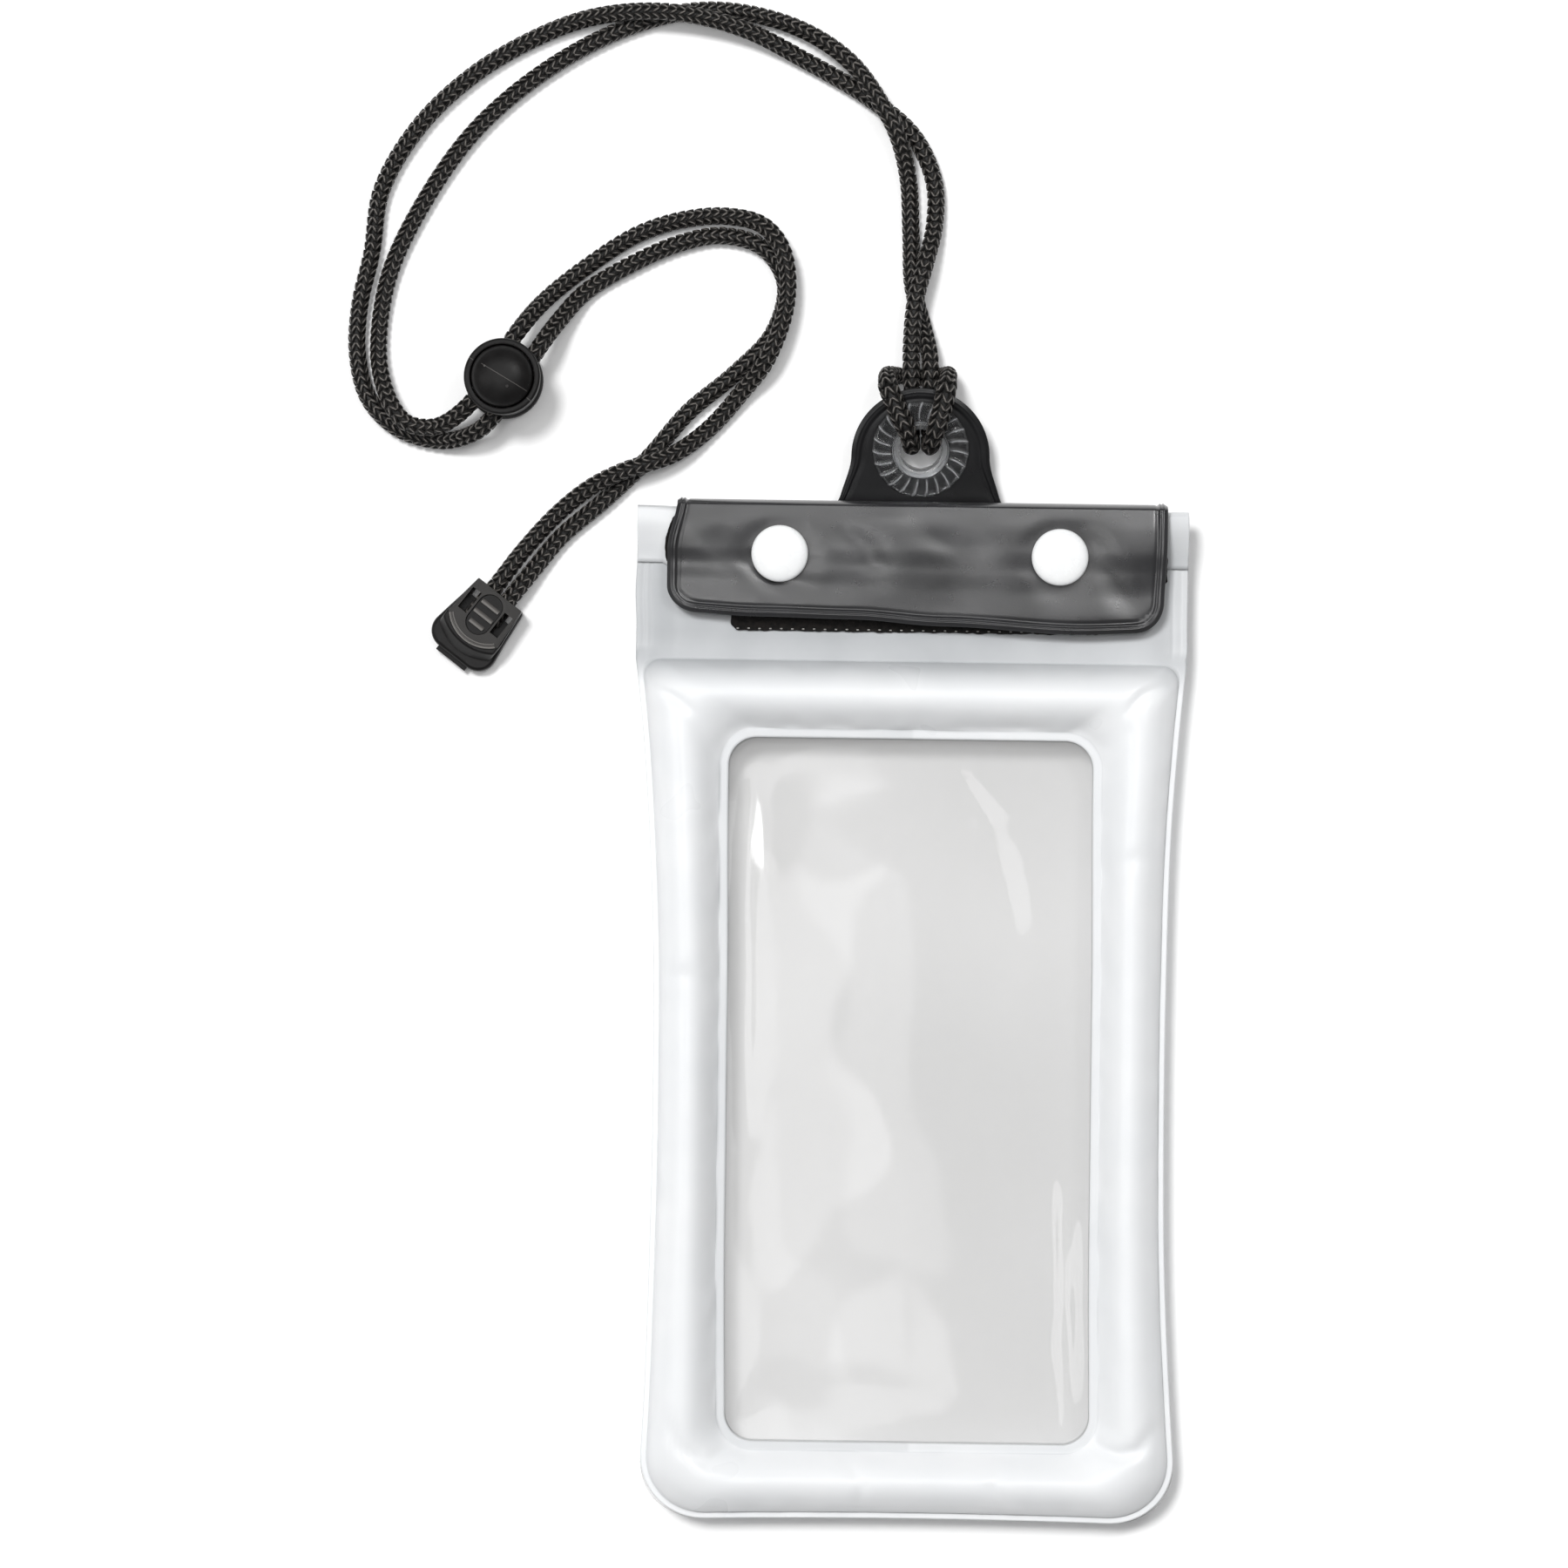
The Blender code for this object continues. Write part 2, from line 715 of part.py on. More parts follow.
def make_tab():
    """The hanging tab rises from a flat panel behind the neck."""
    half = tab_thickness / 2
    wide, crease_y = mouth_half_width - tab_panel_margin, fold_y - tab_crease
    low_y = crease_y - tab_panel_length
    low_z, high_z = middle_z - tab_level - half, middle_z - tab_level + half
    tab = box("hang_tab", (-wide, low_y, low_z), (wide, crease_y, high_z), "pvc")
    bell = plate("tab_bell", tab_outline(), -half, half, None, cutters)
    bell.matrix_world = tab_matrix() @ Matrix.Translation((0.0, -tab_crease_lap, 0.0)) @ bell.matrix_world
    cut(tab, bell, "UNION")
    radius = eyelet_bore / 2 + eyelet_wall + gap
    hole = peg("eyelet_hole", radius, -2 * tab_thickness, 2 * tab_thickness, 32, cutters)
    hole.matrix_world = tab_matrix() @ Matrix.Translation((0.0, eyelet_center(), 0.0))
    cut(tab, hole)


def eyelet_center():
    """How far up the tab the eyelet sits, from the crease."""
    top = (tab_reach + tab_crease) / math.cos(tab_tilt)
    return top - eyelet_drop / math.cos(tab_tilt)


def make_eyelet():
    """A clear eyelet with a ribbed flange in front, held by a washer behind the tab."""
    bore, barrel = eyelet_bore / 2, eyelet_bore / 2 + eyelet_wall
    ring, rim = eyelet_ring / 2, eyelet_flange / 2
    face = tab_thickness / 2 + gap
    top = face + flange_thickness
    washer_high = -tab_thickness / 2 - gap
    washer_low = washer_high - washer_thickness
    lip_high = washer_low - gap
    lip_low = lip_high - lip_thickness
    middle = (ring + rim) / 2
    edge = eyelet_edge
    profile = [
        (bore, top + ring_rise - edge), (bore + edge, top + ring_rise), (ring - edge, top + ring_rise),
        (ring, top), (middle, top), (rim - edge, top - flange_fall), (rim, face + edge), (rim, face),
        (barrel, face), (barrel, lip_high), (lip_diameter / 2, lip_high), (lip_diameter / 2, lip_low),
        (bore, lip_low),
    ]
    place = tab_matrix() @ Matrix.Translation((0.0, eyelet_center(), 0.0))
    body = turned("eyelet_body", profile, 2 * rib_count, "clear")
    body = as_mesh(body)
    for vert in body.data.vertices:
        radius = math.hypot(vert.co.x, vert.co.y)
        if ring + edge / 2 < radius < rim - edge / 2 and vert.co.z > face + edge:
            crest = math.cos(rib_count * math.atan2(vert.co.y, vert.co.x))
            vert.co.z += rib_height * crest
    body.matrix_world = place
    inner = barrel + gap
    outer = rim - washer_inset
    profile = [(inner, washer_high), (outer, washer_high), (outer, washer_low), (inner, washer_low)]
    washer = turned("eyelet_washer", profile, 32, "clear")
    washer.matrix_world = place


# Route of the neck cord in millimetres: out of the end clip, through the lock, round to the tab,
# up over its front as a lark's head, and back beside itself to the clip
strand_to_tab = [
    (-102.9, 76.0, 4.3), (-97.8, 82.7, 4.3), (-95.2, 86.2, 4.1), (-91.4, 91.4, 2.7),
    (-83.5, 100.3, 2.0), (-75.6, 106.6, 4.4), (-67.4, 110.6, 6.4), (-63.0, 112.0, 6.4),
    (-56.4, 114.6, 4.6), (-48.6, 120.6, 2.1),
    (-41.4, 128.8, 3.0), (-35.5, 136.6, 6.2), (-31.2, 150.0, 6.2), (-32.2, 161.2, 6.1),
    (-37.0, 167.4, 3.8), (-45.2, 169.5, 2.1), (-55.2, 168.6, 2.0), (-65.4, 165.2, 2.0),
    (-76.5, 158.1, 2.0), (-86.6, 149.6, 4.4), (-92.6, 142.0, 9.5), (-98.7, 132.6, 9.5),
    (-103.6, 125.0, 9.5), (-111.2, 119.9, 6.5), (-117.8, 120.4, 6.3), (-121.0, 123.4, 6.0),
    (-123.9, 129.6, 3.8), (-125.2, 138.0, 2.1), (-123.2, 154.0, 2.0), (-116.1, 170.2, 2.0),
    (-103.0, 189.2, 2.0), (-84.8, 204.4, 2.0), (-66.0, 213.8, 2.0), (-48.9, 217.0, 2.0),
    (-30.8, 213.6, 2.2), (-17.6, 205.4, 4.8), (-9.6, 194.6, 6.4), (-6.2, 188.2, 5.6),
    (-3.6, 178.4, 2.4), (-2.8, 166.0, 2.0), (-2.2, 154.0, 2.0), (0.1, 145.4, 2.2),
    (1.9, 137.4, 5.8),
]
knot_at_tab = [
    (2.0, 132.9, 6.7), (2.1, 128.6, 6.1), (2.1, 123.6, 4.1), (2.1, 119.6, 3.3),
    (2.1, 117.4, 6.2), (2.1, 116.7, 9.6), (2.5, 117.2, 12.0), (3.3, 119.9, 13.9),
    (4.5, 124.5, 14.0), (5.5, 129.2, 13.7), (6.0, 132.3, 10.4), (6.1, 133.4, 6.2),
    (5.0, 133.4, 3.0), (2.8, 133.1, 2.0), (-0.2, 133.0, 2.0), (-3.2, 133.1, 2.0),
    (-5.6, 133.3, 3.0), (-7.4, 133.3, 6.2), (-8.0, 132.2, 10.4), (-7.4, 129.2, 13.7),
    (-5.4, 124.5, 14.0), (-3.3, 119.9, 13.9), (-2.5, 117.2, 12.0), (-2.1, 116.7, 9.6),
    (-2.1, 117.4, 6.2), (-2.1, 119.6, 3.3), (-2.1, 123.6, 4.1), (-2.1, 128.6, 6.1),
    (-2.3, 132.9, 6.7),
]
strand_from_tab = [
    (-2.4, 139.5, 6.4), (-1.6, 150.4, 6.4), (0.6, 159.0, 5.6), (2.6, 168.0, 2.8),
    (2.4, 178.0, 2.0), (-2.4, 188.4, 2.0), (-12.4, 196.9, 2.0), (-28.0, 205.8, 2.0),
    (-41.0, 212.0, 4.6), (-54.0, 215.3, 6.4), (-65.6, 216.0, 6.2), (-78.6, 214.4, 3.0),
    (-90.8, 209.6, 2.0), (-104.2, 201.3, 2.0), (-116.4, 189.4, 2.0), (-124.9, 174.6, 2.0),
    (-127.0, 160.0, 2.0), (-129.6, 148.0, 2.0), (-130.0, 136.4, 2.0), (-127.2, 126.2, 2.0),
    (-120.2, 119.4, 2.0), (-110.4, 116.8, 2.6), (-102.4, 118.6, 7.6), (-98.9, 121.4, 9.5),
    (-93.4, 129.3, 9.5), (-87.6, 138.6, 9.5), (-83.0, 145.4, 4.8), (-77.6, 151.6, 2.0),
    (-68.1, 157.6, 2.0), (-56.1, 163.1, 2.0), (-46.1, 165.0, 2.0), (-36.6, 162.2, 2.0),
    (-31.6, 154.0, 2.0), (-34.2, 142.8, 2.0), (-42.9, 133.3, 2.0), (-53.4, 124.4, 2.0),
    (-62.3, 113.9, 2.0), (-71.6, 104.6, 2.0), (-82.4, 95.2, 2.0), (-87.8, 88.6, 2.7),
    (-91.8, 83.4, 4.1), (-94.4, 80.1, 4.3), (-99.5, 73.4, 4.3),
]


def smooth_route(points, step):
    """A centripetal Catmull-Rom curve through the points, read at short steps."""
    points = [Vector(p) * mm for p in points]
    points = [2 * points[0] - points[1]] + points + [2 * points[-1] - points[-2]]
    line = []
    for a, b, c, d in zip(points, points[1:], points[2:], points[3:]):
        ta = 0.0
        tb = ta + math.sqrt((b - a).length)
        tc = tb + math.sqrt((c - b).length)
        td = tc + math.sqrt((d - c).length)
        count = max(2, round((c - b).length / step))
        for k in range(count):
            t = tb + (tc - tb) * k / count
            ab = a.lerp(b, (t - ta) / (tb - ta))
            bc = b.lerp(c, (t - tb) / (tc - tb))
            cd = c.lerp(d, (t - tc) / (td - tc))
            abc = ab.lerp(bc, (t - ta) / (tc - ta))
            bcd = bc.lerp(cd, (t - tb) / (td - tb))
            line.append(abc.lerp(bcd, (t - tb) / (tc - tb)))
    return line + [points[-2]]


def thinned(line, longest, turn):
    """Keep a point of the line where it has run far enough or turned enough."""
    kept = [line[0]]
    heading = line[1] - line[0]
    run = 0.0
    for before, point, after in zip(line, line[1:], line[2:]):
        run += (point - before).length
        if run >= longest or heading.angle(after - point) >= turn:
            kept.append(point)
            heading = after - point
            run = 0.0
    return kept + [line[-1]]


def tube(name, line, thickness, material):
    curve = bpy.data.curves.new(name, "CURVE")
    curve.dimensions = "3D"
    curve.bevel_depth = thickness / 2
    curve.bevel_resolution = 2
    curve.use_fill_caps = True
    spline = curve.splines.new("POLY")
    spline.points.add(len(line) - 1)
    for point, place in zip(spline.points, line):
        point.co = (*place, 1.0)
    return add_object(name, curve, material)


def make_cord():
    """One cord, doubled: both ends are held in the clip."""
    route = smooth_route(strand_to_tab + knot_at_tab + strand_from_tab, 0.5 * mm)
    line = thinned(route, 3.0 * cord_diameter, math.radians(22))
    tube("lanyard_cord", line, cord_diameter, "cord")


def make_lock():
    """A round barrel stands over the two strands; its plunger pinches them until it is pressed."""
    rim, waist = lock_rim_diameter / 2, lock_waist_diameter / 2
    bore = plunger_diameter / 2 + plunger_running_gap
    edge = lock_edge
    barrel = turned("lock_barrel", [
        (0.0, lock_floor), (bore, lock_floor), (bore, lock_height), (rim - edge, lock_height),
        (rim, lock_height - edge), (rim, lock_height - lock_rim_height),
        (waist, lock_height - lock_rim_height - edge), (waist, lock_rim_height + edge),
        (rim, lock_rim_height), (rim, edge), (rim - edge, 0.0), (0.0, 0.0),
    ], 40, "black")
    place = Matrix.Translation(lock_place) @ Matrix.Rotation(lock_turn, 4, "Z")
    barrel.matrix_world = place
    cord_low = cord_level - cord_diameter / 2 - gap
    cord_high = cord_level + cord_diameter / 2 + gap
    window = box("barrel_window", (-rim * 2, -barrel_window / 2, cord_low),
                 (rim * 2, barrel_window / 2, cord_high), None, cutters)
    window.matrix_world = place
    cut(barrel, window)

    radius = plunger_diameter / 2
    top = lock_height + plunger_rise
    dome = plunger_dome
    shoulder = top - dome
    round_edge = [(radius * math.sin(a), shoulder + dome * math.cos(a)) for a in even(0.0, math.pi / 2, 6)]
    low = cord_low - plunger_web
    plunger = turned("lock_plunger", round_edge + [(radius, low), (0.0, low)], 36, "black")
    plunger.matrix_world = place
    slot = box("plunger_slot", (-rim * 2, -plunger_slot / 2, cord_low),
               (rim * 2, plunger_slot / 2, cord_high + plunger_travel), None, cutters)
    slot.matrix_world = place
    cut(plunger, slot)

    start = lock_floor + gap + spring_wire / 2
    end = low - gap - spring_wire / 2
    count = 10 * spring_turns
    coil = spring_diameter / 2
    line = []
    for k in range(count + 1):
        angle = 2 * math.pi * spring_turns * k / count
        z = start + (end - start) * k / count
        line.append(place @ Vector((coil * math.cos(angle), coil * math.sin(angle), z)))
    tube("lock_spring", line, spring_wire, "steel")


def clip_outline(mouth, tail):
    """A plate that widens from its mouth and ends in two rounded lobes."""
    right = [(0.0, -mouth), (clip_length * 0.62, -(mouth + (tail - mouth) * 0.75))]
    right += arc((clip_length - clip_lobe, -(tail - clip_lobe)), clip_lobe, -math.pi * 0.45, 0.0, 4)
    return right + [(x, -y) for x, y in reversed(right)]


def make_clip():
    """The end clip: a base and a snapped-on cover over the two cord ends."""
    mouth, tail = clip_mouth_width / 2, clip_tail_width / 2
    place = Matrix.Translation(clip_place) @ Matrix.Rotation(clip_turn, 4, "Z")
    base = plate("cord_end_base", clip_outline(mouth, tail), 0.0, clip_base_height, "black")
    latch = box("clip_latch", (clip_length - latch_root, -latch_width / 2, latch_low),
                (clip_length + latch_length, latch_width / 2, latch_low + latch_height), None, cutters)
    cut(base, latch, "UNION")
    low = clip_base_height + gap
    cover_tail = mouth + (tail - mouth) * clip_cover_length / clip_length
    outline = [(0.0, -mouth), (clip_cover_length * 0.6, -cover_tail)]
    outline += arc((clip_cover_length - cover_tail, 0.0), cover_tail, -math.pi / 3, math.pi / 3, 7)
    outline += [(clip_cover_length * 0.6, cover_tail), (0.0, mouth)]
    high = low + clip_cover_height
    cover = plate("cord_end_cover", outline, low, high, "black")

    half = clip_cord_lane + cord_diameter / 2 + gap
    rise = cord_diameter / 2 + gap
    channel = box("clip_channel", (-clip_channel_lead, -half, clip_cord_level - rise),
                  (clip_cord_depth + gap, half, clip_cord_level + rise), None, cutters)
    for obj in (base, cover):
        cut(obj, channel)
    for side in (-1, 1):
        middle = side * grip_slot_spread
        wide = grip_slot_width / 2
        slot = box(f"grip_slot_{side:+d}", (grip_slot_start, middle - wide, high - grip_slot_depth),
                   (grip_slot_start + grip_slot_length, middle + wide, high + gap), None, cutters)
        slot.matrix_world = place
        cut(cover, slot)
    for k in range(grip_rib_count):
        x = grip_rib_start + k * grip_rib_pitch
        rib = box(f"grip_rib_{k}", (x, -grip_rib_length / 2, high - gap),
                  (x + grip_rib_width, grip_rib_length / 2, high + grip_rib_height), None, cutters)
        rib.matrix_world = place
        cut(cover, rib, "UNION")
    for obj in (base, cover, channel, latch):
        obj.matrix_world = place @ obj.matrix_world


make_skins()
make_films()
make_zips()
make_flap()
make_skin_holes()
make_tapes()
make_snaps()
make_tab()
make_eyelet()
make_cord()
make_lock()
make_clip()
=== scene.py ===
"""Floating waterproof pouch for a phone: welded cushions, clear windows, closing flap and neck cord."""
import math

import bpy
from mathutils import Matrix, Vector, noise


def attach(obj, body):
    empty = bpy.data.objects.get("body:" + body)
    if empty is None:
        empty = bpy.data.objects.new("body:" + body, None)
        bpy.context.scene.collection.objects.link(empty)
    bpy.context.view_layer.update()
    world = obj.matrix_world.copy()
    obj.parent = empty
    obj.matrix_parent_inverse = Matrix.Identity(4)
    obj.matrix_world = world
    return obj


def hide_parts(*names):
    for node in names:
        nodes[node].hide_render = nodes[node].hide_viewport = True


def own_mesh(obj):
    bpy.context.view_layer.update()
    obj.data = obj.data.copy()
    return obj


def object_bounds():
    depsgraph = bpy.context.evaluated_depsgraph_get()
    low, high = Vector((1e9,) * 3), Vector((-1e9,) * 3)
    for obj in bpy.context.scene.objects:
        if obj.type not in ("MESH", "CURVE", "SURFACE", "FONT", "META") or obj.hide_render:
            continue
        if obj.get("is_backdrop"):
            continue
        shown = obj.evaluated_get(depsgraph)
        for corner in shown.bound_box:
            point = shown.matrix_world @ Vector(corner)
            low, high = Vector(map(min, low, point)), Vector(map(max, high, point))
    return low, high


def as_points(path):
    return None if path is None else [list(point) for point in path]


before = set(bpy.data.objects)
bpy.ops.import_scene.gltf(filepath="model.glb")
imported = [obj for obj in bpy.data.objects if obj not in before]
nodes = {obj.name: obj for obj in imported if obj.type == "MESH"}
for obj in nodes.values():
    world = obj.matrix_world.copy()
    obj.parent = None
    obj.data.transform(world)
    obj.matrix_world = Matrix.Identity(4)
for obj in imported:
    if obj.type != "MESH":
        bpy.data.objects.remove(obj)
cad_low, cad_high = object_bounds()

mm = 0.001

# The pouch's own sizes, as in the CAD
bottom_y, fold_y, chamber_top, waist_y = -130.3, 103.1, 67.1, -31.3
mouth_half, waist_half, foot_half = 63.2, 58.7, 62.2
corner, flange, rim_seam, bow = 15.0, 2.0, 1.4, 1.0
window_half, window_low, window_high = 41.8, -111.9, 49.5
weld = 2.0
middle = 8.5
film_level, skin_level, inner_hem, outer_hem = 1.4, 2.4, 3.6, 4.7
flap_upper, flap_back, flap_back_low = 8.1, 3.6, 79.1
upper_loop, lower_loop, lower_hook = 5.8, 3.5, 4.6
hem_low, neck_low = 86.1, 69.1
hem_reach, flap_reach = 0.45, 0.27
front_crest, rear_crest = 8.5, 8.85
skin_sheet, film_sheet, flap_sheet, tab_sheet = 0.4, 0.3, 0.9, 1.0
snap_x, snap_y = 32.0, 91.4
lock_turn = math.radians(57.3)
lock_place = Matrix.Translation((-96.0, 131.0, 0.0)) @ Matrix.Rotation(lock_turn, 4, "Z")
level = Matrix.Rotation(-lock_turn, 4, "Z")
clip_place = Matrix.Translation((-96.1, 81.4, 0.0)) @ Matrix.Rotation(math.radians(-127.6), 4, "Z")
tab_place = Matrix.Translation((0.0, 100.1, 4.1)) @ Matrix.Rotation(math.radians(12.0), 4, "X")
eyelet_up = 16.46


def deselect():
    if bpy.context.object and bpy.context.object.mode != "OBJECT":
        bpy.ops.object.mode_set(mode="OBJECT")
    bpy.ops.object.select_all(action="DESELECT")


def pick(piece):
    deselect()
    piece.select_set(True)
    bpy.context.view_layer.objects.active = piece


def apply_place(piece):
    pick(piece)
    bpy.ops.object.transform_apply(location=True, rotation=True, scale=True)


def modified(piece, kind, **settings):
    """Add a modifier to the piece and apply it."""
    pick(piece)
    modifier = piece.modifiers.new(kind.lower(), kind)
    for setting, value in settings.items():
        setattr(modifier, setting, value)
    bpy.ops.object.modifier_apply(modifier=modifier.name)


def finished(piece, material, body="pouch", stands_for=(), angle=None):
    """Give a piece its finish, its body and the CAD nodes that it stands for."""
    piece.data.materials.clear()
    piece.data.materials.append(material)
    pick(piece)
    if angle is None:
        bpy.ops.object.shade_smooth()
    else:
        bpy.ops.object.shade_smooth_by_angle(angle=math.radians(angle))
        modified(piece, "WEIGHTED_NORMAL", keep_sharp=True, weight=80)
    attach(piece, body)
    if stands_for:
        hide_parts(*stands_for)
    return piece


def in_scene(name, data):
    """A new object in the scene that carries the data."""
    thing = bpy.data.objects.new(name, data)
    bpy.context.scene.collection.objects.link(thing)
    return thing


def from_points(name, points, faces):
    """A mesh piece from points in millimetres."""
    mesh = bpy.data.meshes.new(name)
    mesh.from_pydata([Vector(p) * mm for p in points], [], faces)
    return in_scene(name, mesh)


def thickened(piece, thickness):
    """Give a sheet its thickness, under the face that was drawn."""
    modified(piece, "SOLIDIFY", thickness=thickness * mm, offset=-1.0)
    return piece


def grid_faces(rows, wide, wrap=False, turned_over=False):
    """Faces of a grid of points laid row by row; wrap joins each row's ends."""
    faces = []
    for r in range(rows):
        for k in range(wide if wrap else wide - 1):
            a, b = r * wide + k, r * wide + (k + 1) % wide
            faces.append((a, a + wide, b + wide, b) if turned_over else (a, b, b + wide, a + wide))
    return faces


def face_front(piece, face, front=True):
    """Turn the piece's faces over if the given face doesn't look to the front, or to the back."""
    if (piece.data.polygons[face].normal.z > 0) != front:
        piece.data.flip_normals()


def mark(piece, name, values):
    """Store a value for each point, for the finish to read."""
    attribute = piece.data.attributes.new(name, "FLOAT", "POINT")
    attribute.data.foreach_set("value", values)


def quarter_disc(a, b, radius):
    """Where a point in a square corner goes when the corner is rounded."""
    return (a * math.sqrt(max(0.0, 1 - (b / radius) ** 2 / 2)),
            b * math.sqrt(max(0.0, 1 - (a / radius) ** 2 / 2)))


def ease(t):
    t = min(max(t, 0.0), 1.0)
    return t * t * (3 - 2 * t)


def even(start, end, count):
    return [start + (end - start) * k / count for k in range(count + 1)]


def bell(distance, width):
    return math.exp(-((distance / width) ** 2))


def through(points, x):
    """A soft curve through (x, value) points."""
    if x <= points[0][0]:
        return points[0][1]
    for (xa, a), (xb, b) in zip(points, points[1:]):
        if x <= xb:
            return a + (b - a) * ease((x - xa) / (xb - xa))
    return points[-1][1]


def line_distance(x, y, points):
    """Distance from a point to a line of points, and how far along the line it falls, from 0 to 1."""
    best, where = 1e9, 0.0
    count = len(points) - 1
    for k, ((xa, ya), (xb, yb)) in enumerate(zip(points, points[1:])):
        dx, dy = xb - xa, yb - ya
        t = min(max(((x - xa) * dx + (y - ya) * dy) / (dx * dx + dy * dy), 0.0), 1.0)
        d = math.hypot(x - xa - t * dx, y - ya - t * dy)
        if d < best:
            best, where = d, (k + t) / count
    return best, where


def crease(x, y, points, depth, width):
    """A fold pressed in along a line of points, dying away at its ends."""
    d, t = line_distance(x, y, points)
    if d > 3 * width:
        return 0.0
    return -depth * bell(d, width) * math.sin(math.pi * (0.08 + 0.84 * t))


def ripple(x, y, size, seed=0.0):
    return noise.noise(Vector((x / size, y / size, seed)))


# Camera, lights and floor
camera_data = bpy.data.cameras.new("camera")
camera_data.lens, camera_data.sensor_width = 150.0, 36.0
camera_data.clip_start, camera_data.clip_end = 0.05, 20.0
camera = in_scene("camera", camera_data)
camera.location = (-0.0303, 0.0388, 1.5085)
camera.rotation_euler = (0.0, 0.0, math.radians(0.8))
bpy.context.scene.camera = camera
bpy.context.scene.view_settings.view_transform = "Standard"


def key_light():
    sun = bpy.data.lights.new("key", "SUN")
    sun.energy, sun.angle = 1.95, math.radians(13.0)
    lamp = in_scene("key", sun)
    tilt = math.radians(23.0)
    travel = Vector((0.64 * math.sin(tilt), -0.77 * math.sin(tilt), -math.cos(tilt)))
    lamp.rotation_euler = travel.to_track_quat("-Z", "Y").to_euler()
    lamp.visible_glossy = False


def softbox(name, location, size, power, aim=None):
    """A soft lamp that also draws the broad glints on satin and film."""
    data = bpy.data.lights.new(name, "AREA")
    data.shape, data.size, data.size_y, data.energy = "RECTANGLE", size[0], size[1], power
    lamp = in_scene(name, data)
    lamp.location = location
    if aim:
        lamp.rotation_euler = (Vector(aim) - Vector(location)).to_track_quat("-Z", "Y").to_euler()
    lamp.visible_camera = False


def add_node(tree, kind, settings=None, **inputs):
    """Add a shader node; each input is a value or the output that feeds it."""
    node = tree.nodes.new("ShaderNode" + kind)
    for name, value in (settings or {}).items():
        setattr(node, name, value)
    for name, value in inputs.items():
        feed(tree, value, node.inputs[name.replace("_", " ")])
    return node


def feed(tree, value, socket):
    if isinstance(value, bpy.types.NodeSocket):
        tree.links.new(value, socket)
    else:
        socket.default_value = value


def larger(tree, a, b):
    node = add_node(tree, "Math", {"operation": "MAXIMUM"})
    feed(tree, a, node.inputs[0])
    feed(tree, b, node.inputs[1])
    return node.outputs[0]


def white_shown(tree, level, lit):
    """A strength that is lit for the camera and for what glass and gloss show, and level otherwise."""
    path = add_node(tree, "LightPath").outputs
    any_of = larger(tree, path["Is Camera Ray"], path["Is Glossy Ray"])
    any_of = larger(tree, any_of, path["Is Transmission Ray"])
    return add_node(tree, "MapRange", To_Min=level, To_Max=lit, Value=any_of).outputs["Result"]


def studio():
    world = bpy.data.worlds.new("studio")
    bpy.context.scene.world = world
    world.use_nodes = True
    background = world.node_tree.nodes["Background"]
    background.inputs["Color"].default_value = (1.0, 1.0, 1.0, 1.0)
    background.inputs["Strength"].default_value = 0.15

    deselect()
    bpy.ops.mesh.primitive_plane_add(size=6.0, location=(0.0, 0.0, -0.0003))
    floor = bpy.context.object
    floor.name = "floor"
    material = bpy.data.materials.new("white_sweep")
    material.use_nodes = True
    tree = material.node_tree
    shader = tree.nodes["Principled BSDF"]
    shader.inputs["Base Color"].default_value = (0.97, 0.97, 0.97, 1.0)
    shader.inputs["Roughness"].default_value = 1.0
    shader.inputs["Specular IOR Level"].default_value = 0.0
    shader.inputs["Emission Color"].default_value = (1.0, 1.0, 1.0, 1.0)
    tree.links.new(white_shown(tree, 0.0, 0.06), shader.inputs["Emission Strength"])
    floor.data.materials.append(material)
    floor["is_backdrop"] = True


key_light()
softbox("softbox_above", (-0.05, 0.45, 1.2), (1.3, 0.66), 3.7)
softbox("softbox_left", (-0.95, 0.05, 1.1), (0.34, 0.6), 1.6, (-0.05, 0.05, 0.0))
softbox("spot_right", (0.36, 0.48, 1.15), (0.18, 0.18), 2.1)
softbox("card_left", (-0.21, 0.11, 1.2), (0.2, 0.2), 1.0)
softbox("card_film", (-0.10, -0.10, 1.2), (0.20, 0.26), 0.22)
studio()


# Finishes
def finish_material(name, color, roughness, **sockets):
    """A Principled finish; the other sockets are named with underscores for their spaces."""
    material = bpy.data.materials.new(name)
    material.use_nodes = True
    shader = material.node_tree.nodes["Principled BSDF"]
    shader.inputs["Base Color"].default_value = (*color, 1.0)
    shader.inputs["Roughness"].default_value = roughness
    for socket, value in sockets.items():
        shader.inputs[socket.replace("_", " ")].default_value = value
    return material


def grain(material, scale, detail=3.0, source="Object", stretch=(1.0, 1.0, 1.0)):
    """A noise pattern laid over the piece's own coordinates or its own UV map."""
    tree = material.node_tree
    place = add_node(tree, "TexCoord").outputs[source]
    place = add_node(tree, "Mapping", Vector=place, Scale=stretch).outputs["Vector"]
    return add_node(tree, "TexNoise", Scale=scale, Detail=detail, Vector=place).outputs["Fac"]


def spread(material, source, low, high, start=0.0, end=1.0):
    """Turn a pattern into values between low and high."""
    return add_node(material.node_tree, "MapRange", From_Min=start, From_Max=end, To_Min=low, To_Max=high,
                    Value=source).outputs["Result"]


def shades(material, source, stops):
    """Colours along a pattern; a bare number is a grey."""
    ramp = add_node(material.node_tree, "ValToRGB", Fac=source)
    elements = ramp.color_ramp.elements
    while len(elements) < len(stops):
        elements.new(0.5)
    for element, (place, color) in zip(elements, stops):
        element.position = place
        element.color = (*color, 1.0) if isinstance(color, tuple) else (color, color, color, 1.0)
    return ramp.outputs["Color"]


